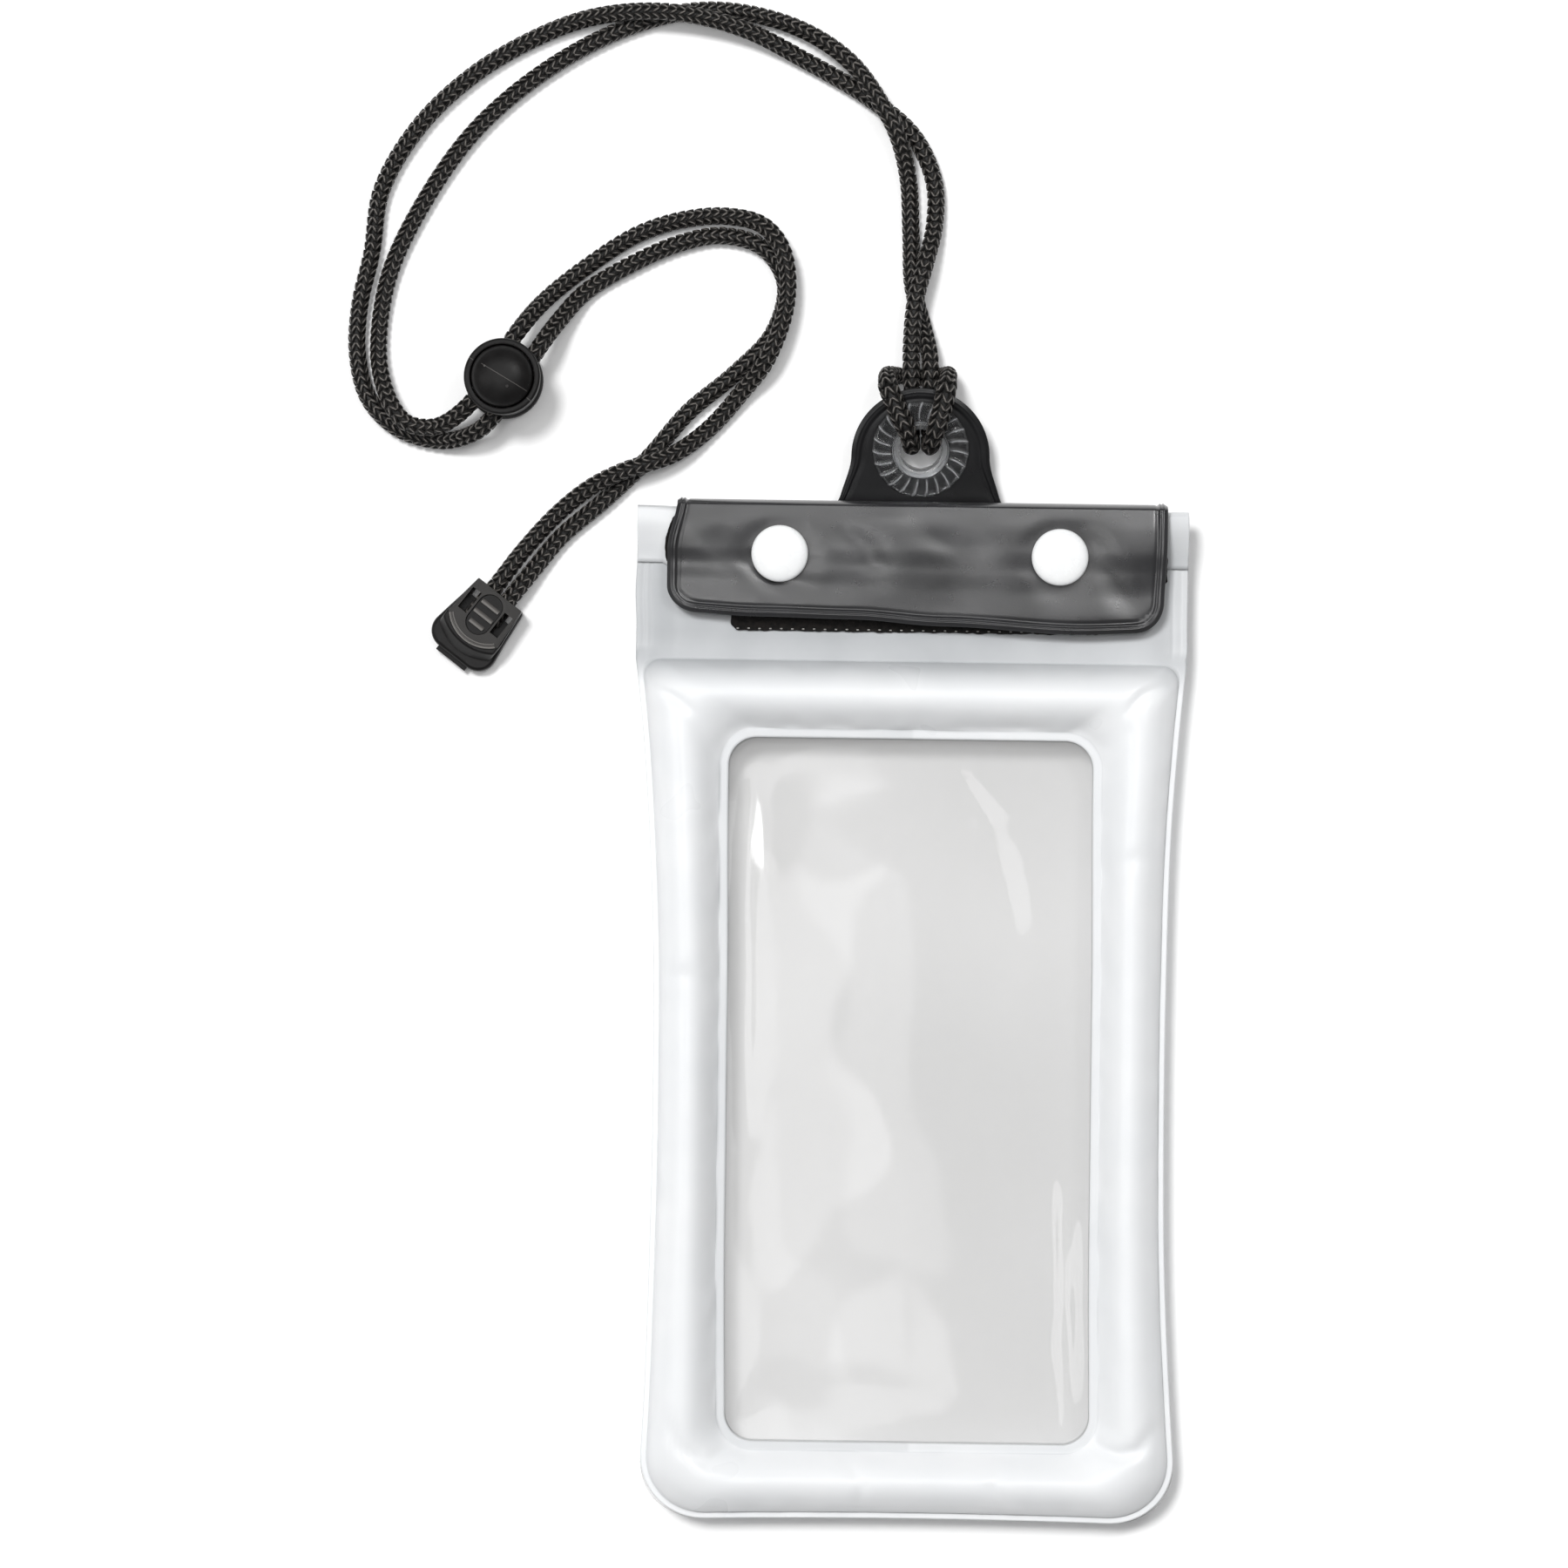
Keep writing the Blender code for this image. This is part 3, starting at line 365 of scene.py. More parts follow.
def mixed(material, factor, a, b, blend="MIX"):
    """Mix two colours, each a value or another pattern's output."""
    settings = {"data_type": "RGBA", "blend_type": blend}
    return add_node(material.node_tree, "Mix", settings, Factor=factor, A=a, B=b).outputs["Result"]


def marked(material, name):
    """The values that a piece's points carry under a name."""
    return add_node(material.node_tree, "Attribute", {"attribute_name": name}).outputs["Fac"]


def dressed(material, layers=(), **sources):
    """Feed sockets from patterns, and stack height patterns of (source, strength, distance) on the normal."""
    tree = material.node_tree
    shader = tree.nodes["Principled BSDF"]
    for socket, source in sources.items():
        feed(tree, source, shader.inputs[socket.replace("_", " ")])
    normal = None
    for source, strength, distance in layers:
        bump = add_node(tree, "Bump", Strength=strength, Distance=distance, Height=source)
        if normal:
            feed(tree, normal, bump.inputs["Normal"])
        normal = bump.outputs["Normal"]
    if normal:
        feed(tree, normal, shader.inputs["Normal"])
    return material


def frosted_tpu():
    """Milky welded sheet: whiter on the cushions, greyer on the neck where the dark panel lies behind. The
    greying on the skin's points is also painted shade: on the top cushion's upper slope, over the fold at the
    mouth and down the hem.
    """
    material = finish_material("frosted_tpu", (0.84, 0.86, 0.88), 0.30)
    cloud = grain(material, 60.0, 4.0)
    white = shades(material, cloud, [(0.3, (0.82, 0.835, 0.85)), (0.7, (0.86, 0.87, 0.88))])
    grey = shades(material, cloud, [(0.3, (0.40, 0.415, 0.43)), (0.7, (0.46, 0.475, 0.49))])
    return dressed(
        material, [(grain(material, 1500.0, 2.0), 0.15, 0.00005), (grain(material, 70.0, 1.0), 0.12, 0.0006)],
        Base_Color=mixed(material, marked(material, "tone_and_painted_shade"), white, grey),
        Roughness=spread(material, grain(material, 40.0, 2.0), 0.24, 0.34))


def clear_film():
    material = finish_material("clear_film", (0.80, 0.795, 0.79), 0.05, Alpha=0.13, IOR=2.1,
                               Specular_IOR_Level=1.0)
    return dressed(material, [(grain(material, 40.0, 1.0), 0.12, 0.0008)],
                   Alpha=spread(material, grain(material, 14.0, 1.0), 0.115, 0.145, 0.35, 0.65))


def satin_pvc(name, level, gloss):
    material = finish_material(name, (level, level, level), 0.36, Specular_IOR_Level=gloss)
    dark, light = 0.7 * level, 1.4 * level
    cloud = shades(material, grain(material, 90.0, 5.0),
                   [(0.3, (dark, dark, 1.1 * dark)), (0.7, (light, light, 1.12 * light))])
    return dressed(
        material, [(grain(material, 2500.0, 2.0), 0.2, 0.00005), (grain(material, 120.0, 1.0), 0.15, 0.0002)],
        Base_Color=cloud, Roughness=spread(material, grain(material, 300.0), 0.24, 0.34))


def pile_tape(name, scale):
    material = finish_material(name, (0.018, 0.014, 0.012), 0.9, Sheen_Weight=0.05)
    fibre = grain(material, scale, 4.0)
    pile = shades(material, fibre, [(0.35, (0.0015, 0.0013, 0.001)), (0.65, (0.010, 0.008, 0.007))])
    return dressed(material, [(fibre, 0.9, 0.0005)], Base_Color=pile)


def clear_moulded():
    """Clear plastic; the eyelet's marked points make its ring a little milky, and paint its rib crests
    whitish and less clear, a painted highlight.
    """
    material = finish_material("clear_moulded", (0.93, 0.94, 0.95), 0.06, Transmission_Weight=1.0, IOR=1.5)
    frost_and_painted_glint = marked(material, "frost_and_painted_glint")
    milk_and_painted_glint = shades(material, frost_and_painted_glint, [
        (0.0, (0.93, 0.94, 0.95)), (0.3, (0.75, 0.76, 0.78)), (1.0, (0.60, 0.61, 0.63))])
    return dressed(material, [(grain(material, 400.0), 0.12, 0.0001)], Base_Color=milk_and_painted_glint,
                   Transmission_Weight=spread(material, frost_and_painted_glint, 1.0, 0.0),
                   Roughness=spread(material, grain(material, 150.0), 0.03, 0.09))


def glossy_white():
    material = finish_material("glossy_white", (0.87, 0.88, 0.88), 0.25)
    cloud = shades(material, grain(material, 120.0), [(0.3, (0.84, 0.85, 0.86)), (0.7, (0.89, 0.90, 0.90))])
    return dressed(material, [(grain(material, 600.0), 0.12, 0.00005)], Base_Color=cloud,
                   Roughness=spread(material, grain(material, 500.0), 0.20, 0.34))


def stitch_thread():
    material = finish_material("stitch_thread", (0.34, 0.33, 0.32), 0.7)
    fibre = grain(material, 2400.0, 2.0)
    thread = shades(material, fibre, [(0.3, (0.24, 0.235, 0.225)), (0.7, (0.42, 0.41, 0.39))])
    return dressed(material, [(fibre, 0.5, 0.0001)], Base_Color=thread)


def knitted_yarn():
    """Yarn whose fibres run along each stitch, from the cord's own UV map; the same map carries painted
    shade, darker at each stitch's sides, tucked ends and apex, and near-black on the core.
    """
    material = finish_material("knitted_yarn", (0.03, 0.026, 0.023), 0.62, Sheen_Weight=0.10,
                               Sheen_Roughness=0.4, Sheen_Tint=(0.75, 0.68, 0.62, 1.0))
    tree = material.node_tree
    fibre = grain(material, 6.0, 4.0, "UV", (1.2, 7.0, 1.0))
    split = add_node(tree, "SeparateXYZ", Vector=add_node(tree, "TexCoord").outputs["UV"])
    # Painted shade: darker away from each stitch's outward face.
    painted_side_shade = shades(material, split.outputs["Y"], [
        (0.34, 0.01), (0.44, 0.14), (0.50, 1.0), (0.56, 0.14), (0.66, 0.01)])
    along = add_node(tree, "Math", {"operation": "FRACT"}, Value=split.outputs["X"])
    # Painted shade: darker at each stitch's tucked-under ends and at its apex.
    ends = shades(material, along.outputs[0], [
        (0.02, 0.05), (0.22, 1.0), (0.42, 0.9), (0.5, 0.45), (0.58, 0.9), (0.78, 1.0), (0.98, 0.05)])
    yarn = shades(material, fibre, [
        (0.30, (0.13, 0.12, 0.108)), (0.52, (0.26, 0.24, 0.222)), (0.75, (0.44, 0.41, 0.38))])
    for layer in (painted_side_shade, ends):
        yarn = mixed(material, 1.0, yarn, layer, "MULTIPLY")
    return dressed(material, [(fibre, 0.7, 0.00025)], Base_Color=yarn,
                   Roughness=spread(material, grain(material, 55.0, 2.0), 0.40, 0.55))


def moulded_black():
    """Black plastic whose marked raised edges and tops carry a painted highlight, a lighter colour that
    stands in for their shine.
    """
    material = finish_material("moulded_black", (0.007, 0.0066, 0.0066), 0.36, Specular_IOR_Level=0.24)
    cloud = grain(material, 400.0, 3.0)
    black = shades(material, cloud, [(0.3, (0.007, 0.0066, 0.0066)), (0.75, (0.0105, 0.0099, 0.0099))])
    return dressed(material, [(grain(material, 1800.0, 2.0), 0.3, 0.00005)],
                   # Painted highlight: the marked points are mixed towards this lighter grey.
                   Base_Color=mixed(material, marked(material, "painted_highlight"), black, (0.21, 0.20, 0.19, 1.0)),
                   Roughness=spread(material, cloud, 0.30, 0.48))


def spring_steel():
    material = finish_material("spring_steel", (0.62, 0.62, 0.64), 0.28, Metallic=1.0)
    return dressed(material, Roughness=spread(material, grain(material, 900.0), 0.2, 0.4))


skin_finish = frosted_tpu()
film_finish = clear_film()
# The flap and the tab are the same black PVC: the flap's copy is lighter and glossier, painted light, and the
# tab's darker and duller, painted shade.
pvc_finish = satin_pvc("satin_pvc", 0.016, 1.15)
tab_finish = satin_pvc("painted_shade_pvc", 0.007, 0.45)
hook_finish = pile_tape("hook_tape", 1800.0)
loop_finish = pile_tape("loop_tape", 900.0)
clear_finish = clear_moulded()
white_finish = glossy_white()
stitch_finish = stitch_thread()
yarn_finish = knitted_yarn()
black_finish = moulded_black()
steel_finish = spring_steel()

# Neck cord: the CAD's route, in millimetres
strand_to_tab = [
    (-102.9, 76.0, 4.3), (-97.8, 82.7, 4.3), (-95.2, 86.2, 4.1), (-91.4, 91.4, 2.7),
    (-83.5, 100.3, 2.0), (-75.6, 106.6, 4.4), (-67.4, 110.6, 6.4), (-63.0, 112.0, 6.4),
    (-56.4, 114.6, 4.6), (-48.6, 120.6, 2.1),
    (-41.4, 128.8, 3.0), (-35.5, 136.6, 6.2), (-31.2, 150.0, 6.2), (-32.2, 161.2, 6.1),
    (-37.0, 167.4, 3.8), (-45.2, 169.5, 2.1), (-55.2, 168.6, 2.0), (-65.4, 165.2, 2.0),
    (-76.5, 158.1, 2.0), (-86.6, 149.6, 4.4), (-92.6, 142.0, 9.5), (-98.7, 132.6, 9.5),
    (-103.6, 125.0, 9.5), (-111.2, 119.9, 6.5), (-117.8, 120.4, 6.3), (-121.0, 123.4, 6.0),
    (-123.9, 129.6, 3.8), (-125.2, 138.0, 2.1), (-123.2, 154.0, 2.0), (-116.1, 170.2, 2.0),
    (-103.0, 189.2, 2.0), (-84.8, 204.4, 2.0), (-66.0, 213.8, 2.0), (-48.9, 217.0, 2.0),
    (-30.8, 213.6, 2.2), (-17.6, 205.4, 4.8), (-9.6, 194.6, 6.4), (-6.2, 188.2, 5.6),
    (-3.6, 178.4, 2.4), (-2.8, 166.0, 2.0), (-2.2, 154.0, 2.0), (0.1, 145.4, 2.2),
    (1.9, 137.4, 5.8),
]
knot_at_tab = [
    (2.0, 132.9, 6.7), (2.1, 128.6, 6.1), (2.1, 123.6, 4.1), (2.1, 119.6, 3.3),
    (2.1, 117.4, 6.2), (2.1, 116.7, 9.6), (2.5, 117.2, 12.0), (3.3, 119.9, 13.9),
    (4.5, 124.5, 14.0), (5.5, 129.2, 13.7), (6.0, 132.3, 10.4), (6.1, 133.4, 6.2),
    (5.0, 133.4, 3.0), (2.8, 133.1, 2.0), (-0.2, 133.0, 2.0), (-3.2, 133.1, 2.0),
    (-5.6, 133.3, 3.0), (-7.4, 133.3, 6.2), (-8.0, 132.2, 10.4), (-7.4, 129.2, 13.7),
    (-5.4, 124.5, 14.0), (-3.3, 119.9, 13.9), (-2.5, 117.2, 12.0), (-2.1, 116.7, 9.6),
    (-2.1, 117.4, 6.2), (-2.1, 119.6, 3.3), (-2.1, 123.6, 4.1), (-2.1, 128.6, 6.1),
    (-2.3, 132.9, 6.7),
]
strand_from_tab = [
    (-2.4, 139.5, 6.4), (-1.6, 150.4, 6.4), (0.6, 159.0, 5.6), (2.6, 168.0, 2.8),
    (2.4, 178.0, 2.0), (-2.4, 188.4, 2.0), (-12.4, 196.9, 2.0), (-28.0, 205.8, 2.0),
    (-41.0, 212.0, 4.6), (-54.0, 215.3, 6.4), (-65.6, 216.0, 6.2), (-78.6, 214.4, 3.0),
    (-90.8, 209.6, 2.0), (-104.2, 201.3, 2.0), (-116.4, 189.4, 2.0), (-124.9, 174.6, 2.0),
    (-127.0, 160.0, 2.0), (-129.6, 148.0, 2.0), (-130.0, 136.4, 2.0), (-127.2, 126.2, 2.0),
    (-120.2, 119.4, 2.0), (-110.4, 116.8, 2.6), (-102.4, 118.6, 7.6), (-98.9, 121.4, 9.5),
    (-93.4, 129.3, 9.5), (-87.6, 138.6, 9.5), (-83.0, 145.4, 4.8), (-77.6, 151.6, 2.0),
    (-68.1, 157.6, 2.0), (-56.1, 163.1, 2.0), (-46.1, 165.0, 2.0), (-36.6, 162.2, 2.0),
    (-31.6, 154.0, 2.0), (-34.2, 142.8, 2.0), (-42.9, 133.3, 2.0), (-53.4, 124.4, 2.0),
    (-62.3, 113.9, 2.0), (-71.6, 104.6, 2.0), (-82.4, 95.2, 2.0), (-87.8, 88.6, 2.7),
    (-91.8, 83.4, 4.1), (-94.4, 80.1, 4.3), (-99.5, 73.4, 4.3),
]


def smooth_route(points, step):
    """A centripetal Catmull-Rom curve through the points, read at short steps."""
    points = [Vector(p) for p in points]
    points = [2 * points[0] - points[1]] + points + [2 * points[-1] - points[-2]]
    line = []
    for a, b, c, d in zip(points, points[1:], points[2:], points[3:]):
        ta = 0.0
        tb = ta + math.sqrt((b - a).length)
        tc = tb + math.sqrt((c - b).length)
        td = tc + math.sqrt((d - c).length)
        count = max(2, round((c - b).length / step))
        for k in range(count):
            t = tb + (tc - tb) * k / count
            ab = a.lerp(b, (t - ta) / (tb - ta))
            bc = b.lerp(c, (t - tb) / (tc - tb))
            cd = c.lerp(d, (t - tc) / (td - tc))
            abc = ab.lerp(bc, (t - ta) / (tc - ta))
            bcd = bc.lerp(cd, (t - tb) / (td - tb))
            line.append(abc.lerp(bcd, (t - tb) / (tc - tb)))
    return line + [points[-2]]


def respaced(line, step):
    """The same line read at equal distances."""
    spaced, left = [line[0]], step
    for a, b in zip(line, line[1:]):
        length = (b - a).length
        while left <= length:
            spaced.append(a.lerp(b, left / length))
            left += step
        left -= length
    return spaced


def carried_frames(line):
    """Two directions across the line at each point, carried along it without twisting."""
    frames = []
    across = Vector((0.0, 0.0, 1.0))
    for k in range(len(line)):
        heading = (line[min(k + 1, len(line) - 1)] - line[max(k - 1, 0)]).normalized()
        across = (across - heading * across.dot(heading)).normalized()
        frames.append((across.copy(), heading.cross(across)))
    return frames


knit_pitch, knit_wales = 1.95, 5
yarn_radius, knit_radius = 0.44, 1.66
stitch_stations = (-1.0, -0.62, -0.22, 0.22, 0.62, 1.0)
yarn_sides = 5
route_step = 0.325


def knitted_cord():
    """A round chain-knitted cord: a core, and five columns of V stitches laid over it."""
    line = respaced(smooth_route(strand_to_tab + knot_at_tab + strand_from_tab, 0.4), route_step)
    frames = carried_frames(line)
    last = len(line) - 1
    points, faces, uvs = [], [], []
    spans = len(stitch_stations) - 1

    def read(s):
        place = min(max(s / route_step, 0.0), last - 0.001)
        k = int(place)
        t = place - k
        (na, ba), (nb, bb) = frames[k], frames[k + 1]
        center = line[k].lerp(line[k + 1], t)
        in_front = ease((center.z - 10.5) / 2.5)
        wider = 1 + 0.17 * in_front * ease((center.y - 118.5) / 3.0) * ease((20.0 - abs(center.x)) / 5.0)
        return center, na.lerp(nb, t) * wider, ba.lerp(bb, t) * wider

    # The core's UV points all lie at (0, 0), where the yarn finish paints it near-black, as painted shade
    # between the stitches.
    sides, core_radius = 10, 1.54
    rings = [k * 6 * route_step for k in range(last // 6 + 1)] + [last * route_step]
    for k, s in enumerate(rings):
        center, across, up = read(s)
        for j in range(sides):
            a = 2 * math.pi * j / sides
            points.append(center + core_radius * (math.cos(a) * across + math.sin(a) * up))
            if k:
                row, before = k * sides, (k - 1) * sides
                nxt = (j + 1) % sides
                faces.append((before + j, before + nxt, row + nxt, row + j))
                uvs.append([(0.0, 0.0)] * 4)
    faces.append(tuple(range(sides - 1, -1, -1)))
    faces.append(tuple(range((len(rings) - 1) * sides, len(rings) * sides)))
    uvs += [[(0.0, 0.0)] * sides] * 2

    length = last * route_step
    courses = int((length - 1.0) / knit_pitch)
    for course in range(courses):
        foot = 0.3 + course * knit_pitch
        for wale in range(knit_wales):
            spin = 2 * math.pi * wale / knit_wales + 0.35 * math.sin(foot / 37.0) + 0.2
            jitter = 0.06 * noise.noise(Vector((foot * 0.7, wale * 3.1, 0.0)))
            centers, outs = [], []
            for t in stitch_stations:
                angle = spin + t * math.pi / knit_wales * 0.92 + jitter
                center, across, up = read(foot + 1.75 * abs(t) ** 1.15)
                out = math.cos(angle) * across + math.sin(angle) * up
                reach = knit_radius - 0.09 * abs(t) ** 4 + 0.03 * (1 - abs(t))
                centers.append(center + reach * out)
                outs.append(out)
            start = len(points)
            for k, (center, out) in enumerate(zip(centers, outs)):
                heading = (centers[min(k + 1, spans)] - centers[max(k - 1, 0)]).normalized()
                side = heading.cross(out).normalized()
                thick = yarn_radius * (0.84 if k in (0, spans) else 1.0)
                for j in range(yarn_sides):
                    a = 2 * math.pi * (j + 0.5) / yarn_sides
                    points.append(center + thick * (math.cos(a) * out + 1.05 * math.sin(a) * side))
            shift = (course * 5 + wale) % 17
            for k in range(spans):
                row = start + yarn_sides * k
                for j in range(yarn_sides):
                    a, b = row + j, row + (j + 1) % yarn_sides
                    faces.append((a, a + yarn_sides, b + yarn_sides, b))
                    # v is 0.5 on a stitch's outward face, where the yarn finish paints it lightest; u runs
                    # from foot to foot, for the painted shade at the ends and apex.
                    u, v = shift + k / spans, ((j + 0.5) / yarn_sides + 0.5) % 1.0
                    uvs.append([(u, v), (u + 0.2, v), (u + 0.2, v + 0.2), (u, v + 0.2)])
            faces.append(tuple(range(start, start + yarn_sides)))
            faces.append(tuple(range(len(points) - 1, len(points) - 1 - yarn_sides, -1)))
            # The end caps sit where the yarn finish paints its darkest shade.
            uvs += [[(shift, 0.0)] * yarn_sides] * 2

    piece = from_points("neck_cord", points, faces)
    layer = piece.data.uv_layers.new(name="yarn")
    layer.data.foreach_set("uv", [value for face in uvs for place in face for value in place])
    return piece, [p * mm for p in line[::4]] + [line[-1] * mm]


cord_piece, cord_path = knitted_cord()
finished(cord_piece, yarn_finish, stands_for=["lanyard_cord"])


# Hard pieces, turned and moulded
def pulled(name, points):
    """Pull one point along a line of (x, y, z) points; the piece is left in edit mode, all of it picked."""
    deselect()
    bpy.ops.mesh.primitive_plane_add(size=mm)
    piece = bpy.context.object
    piece.name = piece.data.name = name
    bpy.ops.object.mode_set(mode="EDIT")
    bpy.ops.mesh.select_all(action="SELECT")
    bpy.ops.mesh.merge(type="CENTER")
    bpy.ops.transform.translate(value=[c * mm for c in points[0]])
    for a, b in zip(points, points[1:]):
        bpy.ops.mesh.extrude_vertices_move(
            TRANSFORM_OT_translate={"value": [(cb - ca) * mm for ca, cb in zip(a, b)]})
    bpy.ops.mesh.select_all(action="SELECT")
    return piece


def closed_up():
    """Turn the picked faces outward and leave edit mode."""
    bpy.ops.mesh.select_all(action="SELECT")
    bpy.ops.mesh.normals_make_consistent(inside=False)
    bpy.ops.object.mode_set(mode="OBJECT")


def turned(name, profile, steps):
    """Draw a profile of (radius, height) points and spin it once round."""
    piece = pulled(name, [(r, 0.0, z) for r, z in profile])
    bpy.ops.mesh.spin(steps=steps, angle=2 * math.pi, center=(0.0, 0.0, 0.0), axis=(0.0, 0.0, 1.0))
    bpy.ops.mesh.select_all(action="SELECT")
    bpy.ops.mesh.remove_doubles(threshold=0.000001)
    closed_up()
    return piece


def put(piece, place):
    """Move a finished piece to its place, given in millimetres, and leave the place in its mesh."""
    matrix = place.copy()
    matrix.translation = place.translation * mm
    piece.matrix_world = matrix @ piece.matrix_world
    apply_place(piece)
    return piece


def block(name, low, high):
    """A block between two corners."""
    deselect()
    low, high = Vector(low) * mm, Vector(high) * mm
    bpy.ops.mesh.primitive_cube_add(size=1.0, location=(low + high) / 2)
    piece = bpy.context.object
    piece.name = name
    piece.scale = high - low
    apply_place(piece)
    return piece


def cut_with(piece, cutter, operation="DIFFERENCE"):
    modified(piece, "BOOLEAN", operation=operation, object=cutter, solver="EXACT")
    bpy.data.objects.remove(cutter, do_unlink=True)


def joined(piece, extras):
    """Join further shells to a piece."""
    pick(piece)
    for extra in extras:
        extra.select_set(True)
    bpy.ops.object.join()
    return piece


def paint_highlight(piece, low, amount):
    """Paint a highlight on the piece's points above a height: a lighter colour that stands in for their
    shine.
    """
    mark(piece, "painted_highlight", [amount * ease((v.co.z / mm - low) / 0.2) for v in piece.data.vertices])
    return piece


def arc_points(center, radius, start, end, count):
    """Points on an arc between two angles in degrees."""
    return [(center[0] + radius * math.cos(math.radians(a)), center[1] + radius * math.sin(math.radians(a)))
            for a in even(start, end, count)]


def lock_barrel():
    profile = [(0.0, 1.2), (7.3, 1.2), (7.3, 16.7)]
    profile += arc_points((7.6, 16.7), 0.3, 180, 90, 3)[1:]
    profile += arc_points((8.15, 16.4), 0.6, 90, 0, 5)
    profile += [(8.75, 14.9), (8.7, 14.6), (8.3, 14.1), (8.3, 3.0), (8.8, 2.5), (8.9, 2.2), (8.9, 0.6)]
    profile += arc_points((8.3, 0.6), 0.6, 0, -90, 4)[1:] + [(0.0, 0.0)]
    piece = turned("cord_lock_barrel", profile, 96)
    cut_with(piece, block("barrel_window", (-20, -6.0, 7.2), (20, 6.0, 11.8)))
    lines = []
    for angle in (151.0, -40.0):
        # The parting marks carry a painted highlight.
        line = paint_highlight(block("parting_mark", (7.5, -0.09, 15.6), (8.7, 0.09, 17.08)), 16.0, 0.3)
        lines.append(put(line, level @ Matrix.Rotation(math.radians(angle), 4, "Z")))
    joined(piece, lines)
    return put(piece, lock_place)


def lock_plunger():
    """A domed push button with the thin parting line and gate marks of its mould."""
    profile = [(0.0, 19.9), (1.6, 19.86), (3.0, 19.7), (4.2, 19.42), (5.2, 19.02), (6.0, 18.52), (6.6, 18.0),
               (6.95, 17.4), (7.1, 16.7), (7.1, 5.8), (0.0, 5.8)]
    piece = turned("cord_lock_plunger", profile, 96)
    proud = [(r + 0.08 if r else 0.0, z + 0.1) for r, z in profile[:9]]
    seam = turned("parting_line", proud + [(7.08, 15.5), (0.0, 15.5)], 96)
    cut_with(seam, block("seam_strip", (-5.4, -0.07, 14.0), (6.8, 0.07, 21.0)), "INTERSECT")
    # The seam, gate mark and ejector mark carry a painted highlight.
    paint_highlight(seam, 16.0, 0.4)
    put(seam, level @ Matrix.Rotation(math.radians(-30.4), 4, "Z"))
    nub = turned("gate_mark", [(0.0, 0.34), (0.2, 0.3), (0.3, -0.4), (0.0, -0.4)], 16)
    put(nub, level @ Matrix.Translation((-3.9, 2.2, 19.33)))
    ejector = turned("ejector_mark", [(0.0, 0.12), (0.3, 0.10), (0.42, -0.4), (0.0, -0.4)], 20)
    put(ejector, level @ Matrix.Translation((1.3, -2.4, 19.72)))
    cut_with(piece, block("plunger_slot", (-20, -5.8, 7.0), (20, 5.8, 14.9)))
    joined(piece, [seam, paint_highlight(nub, 16.0, 0.5), paint_highlight(ejector, 16.0, 0.12)])
    return put(piece, lock_place)


def drawn(name, outline, low, high, taper=None):
    """Fill a closed outline of (x, y) points and pull it up; taper is (x scale, y scale, x center)."""
    piece = pulled(name, [(x, y, low) for x, y in outline + outline[:1]])
    bpy.ops.mesh.remove_doubles(threshold=0.000001)
    bpy.ops.mesh.edge_face_add()
    bpy.ops.mesh.extrude_region_move(TRANSFORM_OT_translate={"value": (0.0, 0.0, (high - low) * mm)})
    if taper:
        bpy.ops.transform.resize(value=(taper[0], taper[1], 1.0),
                                 center_override=(taper[2] * mm, 0.0, high * mm))
    closed_up()
    return piece


def mirrored(right):
    return right + [(x, -y) for x, y in reversed(right)]


def softened(piece, width, segments=3):
    modified(piece, "BEVEL", width=width * mm, segments=segments, limit_method="ANGLE",
             angle_limit=math.radians(35))


def clip_base():
    """The clip's lower half: two rounded lobes, a latch between them and a lane for the cord."""
    right = [(0.0, -6.3), (9.0, -7.8)] + arc_points((13.6, -4.1), 4.35, -102, 0, 12)
    outline = mirrored(right)
    outline[-1] = (0.0, 6.75)
    piece = drawn("cord_clip_base", outline, 0.0, 4.2)
    softened(piece, 0.9, 4)
    latch = block("clip_latch", (16.8, -4.15, 0.5), (19.0, 4.15, 2.7))
    softened(latch, 0.15, 2)
    cut_with(piece, latch, "UNION")
    cut_with(piece, block("cord_lane", (-5.0, -4.5, 1.95), (9.3, 4.5, 6.65)))
    for low, high in (((2.2, -5.5, -1.0), (4.05, -4.15, 6.0)), ((2.5, 4.3, -1.0), (4.2, 5.9, 6.0)),
                      ((2.0, -6.0, 2.2), (8.3, -3.6, 6.0)), ((2.2, 3.6, 2.2), (8.4, 5.9, 6.0))):
        cut_with(piece, block("see_through", low, high))
    return put(piece, clip_place)


